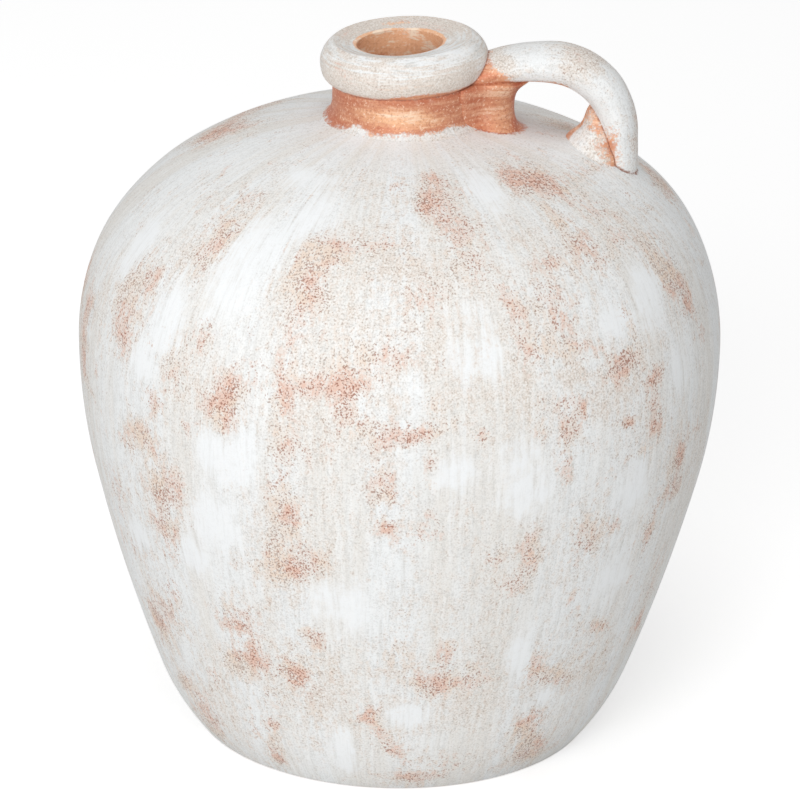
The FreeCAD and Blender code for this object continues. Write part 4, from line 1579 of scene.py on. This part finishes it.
    def paint(self, piece: bpy.types.Object, fitted: Sequence[bpy.types.Object], copper: Values | float,
              wear: Values | float) -> None:
        """Lay paint, wear and grime on one of the handle's pieces.

        Args:
            piece: the piece.
            fitted: the pieces beside whose edges shade is painted on it.
            copper: how deep inside the coppery paint each place is, in millimetres.
            wear: the wear; on the strap it also holds painted shade down its outer edge.
        """
        co = places(piece)
        share, outward, across = self.along_strap(co)
        # Painted shade on the web's nose, and a painted highlight that grows away from the neck.
        nose_shade = 1.2 * soft(co[:, 0] - self.web_nose, self.nose_reach) * (co[:, 2] < self.nose_top)
        beyond_neck = np.clip((co[:, 0] - self.neck.radius) / self.painted_highlight_reach, 0, 1)
        lay(piece, strokes=np.stack([across, outward, share * self.pull_share], 1),
            sweep=stroke_drum(co, self.neck.radius * RING_SHARE, co[:, 2]), rake=1.0, copper=copper,
            wear=0.16 * wear, haze=wear, thick=0.0,
            shine=self.root_painted_highlight + self.strap_painted_highlight * beyond_neck - nose_shade,
            crease=painted_shade(co, fitted, 0.9, 1.0))

    def strap_copper(self, co: Values) -> Values:
        """Return how deep inside the coppery paint each place on the strap is, in millimetres.

        Args:
            co: the strap's vertices.
        Returns:
            The depths.
        """
        share, outward, _ = self.along_strap(co)
        inward = -outward / MM
        root = 0.38 * (np.interp(co[:, 2] / MM, *zip(*self.root_edge)) - co[:, 0] / MM)
        under = ((inward - 7.2) * 1.2 + 1.5 * (share < 0.46) - 3.0 * soft(share - 0.62, 0.12)
                 - 9.0 * (share > 0.86))
        foot = np.minimum(0.30 * (276.0 - co[:, 2] / MM), 0.4 * (inward - 1.0))
        return np.maximum(np.maximum(root, under), foot)

    def wear_and_shade_on_strap(self, co: Values) -> Values:
        """Return the strap's wear over its bend and at its root, and painted shade as a darker haze down its
        outer back edge.

        Args:
            co: the strap's vertices.
        Returns:
            The wear from 0 to 1.
        """
        across, up = co[:, 0], co[:, 2]
        # The last term is painted shade: a darker haze down the drop's outer edge.
        return (0.7 * soft(across - 0.078, 0.014) * soft(up - 0.309, 0.009)
                + 0.8 * soft(across - 0.040, 0.009) * soft(up - 0.304, 0.012)
                + 0.4 * soft(across - 0.101, 0.003))

    def pad_copper(self, co: Values, beside: Values) -> Values:
        """Return how deep inside the coppery paint each place on the pad is.

        Args:
            co: the pad's vertices.
            beside: how far each is from the strap, in millimetres, along whose edge the paint shows.
        Returns:
            The depth in millimetres.
        """
        out, side = co[:, 0] - self.pad_back, co[:, 1] + co[:, 0] * math.sin(self.turn)
        facing = -out / np.hypot(out, side)
        return np.maximum(1.0 - 0.30 * beside, (facing - 0.965) * 70.0)


# The studio


@dataclass(frozen=True)
class Lamp:
    """A large soft lamp: its place, how wide it is, and its power."""

    name: str
    place: tuple[float, float, float]
    size: float
    power: float


@dataclass(frozen=True)
class Studio:
    """The camera at the photograph's viewing angle, soft light, and a pale floor."""

    elevation: float = math.radians(22.0)
    distance: float = 2.2
    target_height: float = 0.1375
    focal_pixels: float = 5008.0
    picture: float = 800.0
    target_across: float = 398.0
    target_down: float = 417.7
    roll: float = math.radians(1.16)
    sensor: float = 36.0
    sees_as_far_as: float = 60.0
    sky: float = 0.50
    lamps: tuple[Lamp, ...] = (Lamp("key", (-0.72, -2.45, 1.20), 1.5, 37.0),
                               Lamp("fill", (2.0, -1.2, 1.0), 1.4, 1.2),
                               Lamp("top", (-0.2, -0.5, 2.4), 1.5, 9.0))
    floor_radius: float = 9.0
    floor_height: float = -0.0002
    floor_grey: float = 0.80
    floor_glow: float = 0.45

    def make_camera(self) -> None:
        """Set the camera up so that the jug's middle falls where the photograph has it."""
        forward = Vector((0, math.cos(self.elevation), -math.sin(self.elevation)))
        right, up = Vector((1, 0, 0)), Vector((0, math.sin(self.elevation), math.cos(self.elevation)))
        cosine, sine = math.cos(self.roll), math.sin(self.roll)
        right, up = right * cosine + up * sine, up * cosine - right * sine
        place = Vector((0, 0, self.target_height)) - forward * self.distance
        across = (self.picture / 2 - self.target_across) / self.focal_pixels
        rise = (self.target_down - self.picture / 2) / self.focal_pixels
        aim = (forward + right * across + up * rise).normalized()
        right = (right - aim * right.dot(aim)).normalized()
        up = right.cross(aim)
        bpy.ops.object.camera_add()
        camera = bpy.context.object
        camera.name = "camera"
        camera.matrix_world = Matrix.Translation(place) @ Matrix((right, up, -aim)).transposed().to_4x4()
        camera.data.sensor_width = self.sensor
        camera.data.lens = self.focal_pixels / self.picture * self.sensor
        camera.data.clip_end = self.sees_as_far_as
        bpy.context.scene.camera = camera

    def hang(self, lamp: Lamp) -> None:
        """Hang a lamp that points at the jug's middle.

        Args:
            lamp: the lamp.
        """
        bpy.ops.object.light_add(type="AREA", location=lamp.place)
        light = bpy.context.object
        light.name = lamp.name
        light.data.shape = "DISK"
        light.data.size = lamp.size
        light.data.energy = lamp.power
        light.visible_camera = False
        aim = Vector((0, 0, self.target_height)) - Vector(lamp.place)
        light.rotation_euler = aim.to_track_quat("-Z", "Y").to_euler()

    def white_rays(self, r: Recipe) -> Socket:
        """Return 1 for rays that should meet a white background.

        Args:
            r: writes the node tree.
        Returns:
            The level, 0 for all other rays.
        """
        rays = r.add("ShaderNodeLightPath").outputs
        shown = r.reckon("MAXIMUM", rays["Is Camera Ray"], rays["Is Glossy Ray"])
        return r.reckon("MAXIMUM", shown, rays["Is Transmission Ray"])

    def make_world(self) -> None:
        """Make a white background that lights the jug more softly than it shows."""
        world = bpy.data.worlds.new("studio")
        world.use_nodes = True
        bpy.context.scene.world = world
        r = Recipe(world.node_tree)
        strength = r.ramp(self.white_rays(r), 0.0, 1.0, self.sky, 1.0)
        r.feed(world.node_tree.nodes["Background"], {"Color": WHITE, "Strength": strength})

    def make_floor(self) -> None:
        """Lay a pale floor that keeps the jug's shadow."""
        start_fresh()
        bpy.ops.mesh.primitive_circle_add(vertices=64, radius=self.floor_radius, fill_type="NGON",
                                          location=(0, 0, self.floor_height))
        floor = bpy.context.object
        floor.name = "floor"
        material, r, shader = open_material("pale_floor")
        r.feed(shader, {
            "Base Color": colour(self.floor_grey, self.floor_grey, self.floor_grey), "Roughness": 1.0,
            "Specular IOR Level": 0.0, "Emission Color": WHITE,
            "Emission Strength": r.ramp(self.white_rays(r), 0.0, 1.0, 0.0, self.floor_glow),
        })
        floor.data.materials.append(material)

    def build(self) -> None:
        """Set up the camera, the light and the floor."""
        self.make_camera()
        for lamp in self.lamps:
            self.hang(lamp)
        self.make_world()
        self.make_floor()
        bpy.context.scene.view_settings.view_transform = "Standard"


def main() -> None:
    """Build the studio and the jug, piece by piece."""
    logging.basicConfig(level=logging.INFO, format="%(message)s")
    Studio().build()
    materials = Materials()
    body, neck, handle = Body(), Neck(), Handle()

    base, lower, upper = body.make_base(), body.make_lower(), body.make_upper()
    collar, rim = neck.make_collar(), neck.make_rim()
    strap, web, pad = handle.make_strap(), handle.make_web(), handle.make_pad()

    body.paint(base, web, [])
    body.paint(lower, web, [])
    body.paint(upper, web, [strap])
    neck.paint_collar(collar, [rim])
    # Painted shade on the rim beside the collar and the strap.
    lay(rim, crease=painted_shade(places(rim), [collar, strap], 0.7, 0.8))
    on_strap, on_pad = places(strap), places(pad)
    beside = distance_to(on_pad, [strap])
    handle.paint(strap, [rim, upper], handle.strap_copper(on_strap), handle.wear_and_shade_on_strap(on_strap))
    handle.paint(web, [rim], FAR, 0.3)
    handle.paint(pad, [strap], handle.pad_copper(on_pad, beside), 0.35 + 0.6 * soft(beside, 4.0))

    for piece, node in ((base, "base_slab"), (lower, "lower_body"), (upper, "upper_body")):
        slot = Finish.BARE_CLAY if piece is base else Finish.WHITEWASH
        finish(piece, slot, node, materials.white, materials.clay)
        body.bare_inside(piece)
    finish(collar, Finish.COPPER_WASH, "neck_collar", materials.copper)
    finish(rim, Finish.WHITEWASH, "rim_ring", materials.white)
    finish(strap, Finish.WHITEWASH, "handle_strap", materials.white)
    finish(web, Finish.COPPER_WASH, "upper_luting", materials.copper)
    finish(pad, Finish.WHITEWASH, "lower_luting", materials.white)


if __name__ == "__main__":
    main()
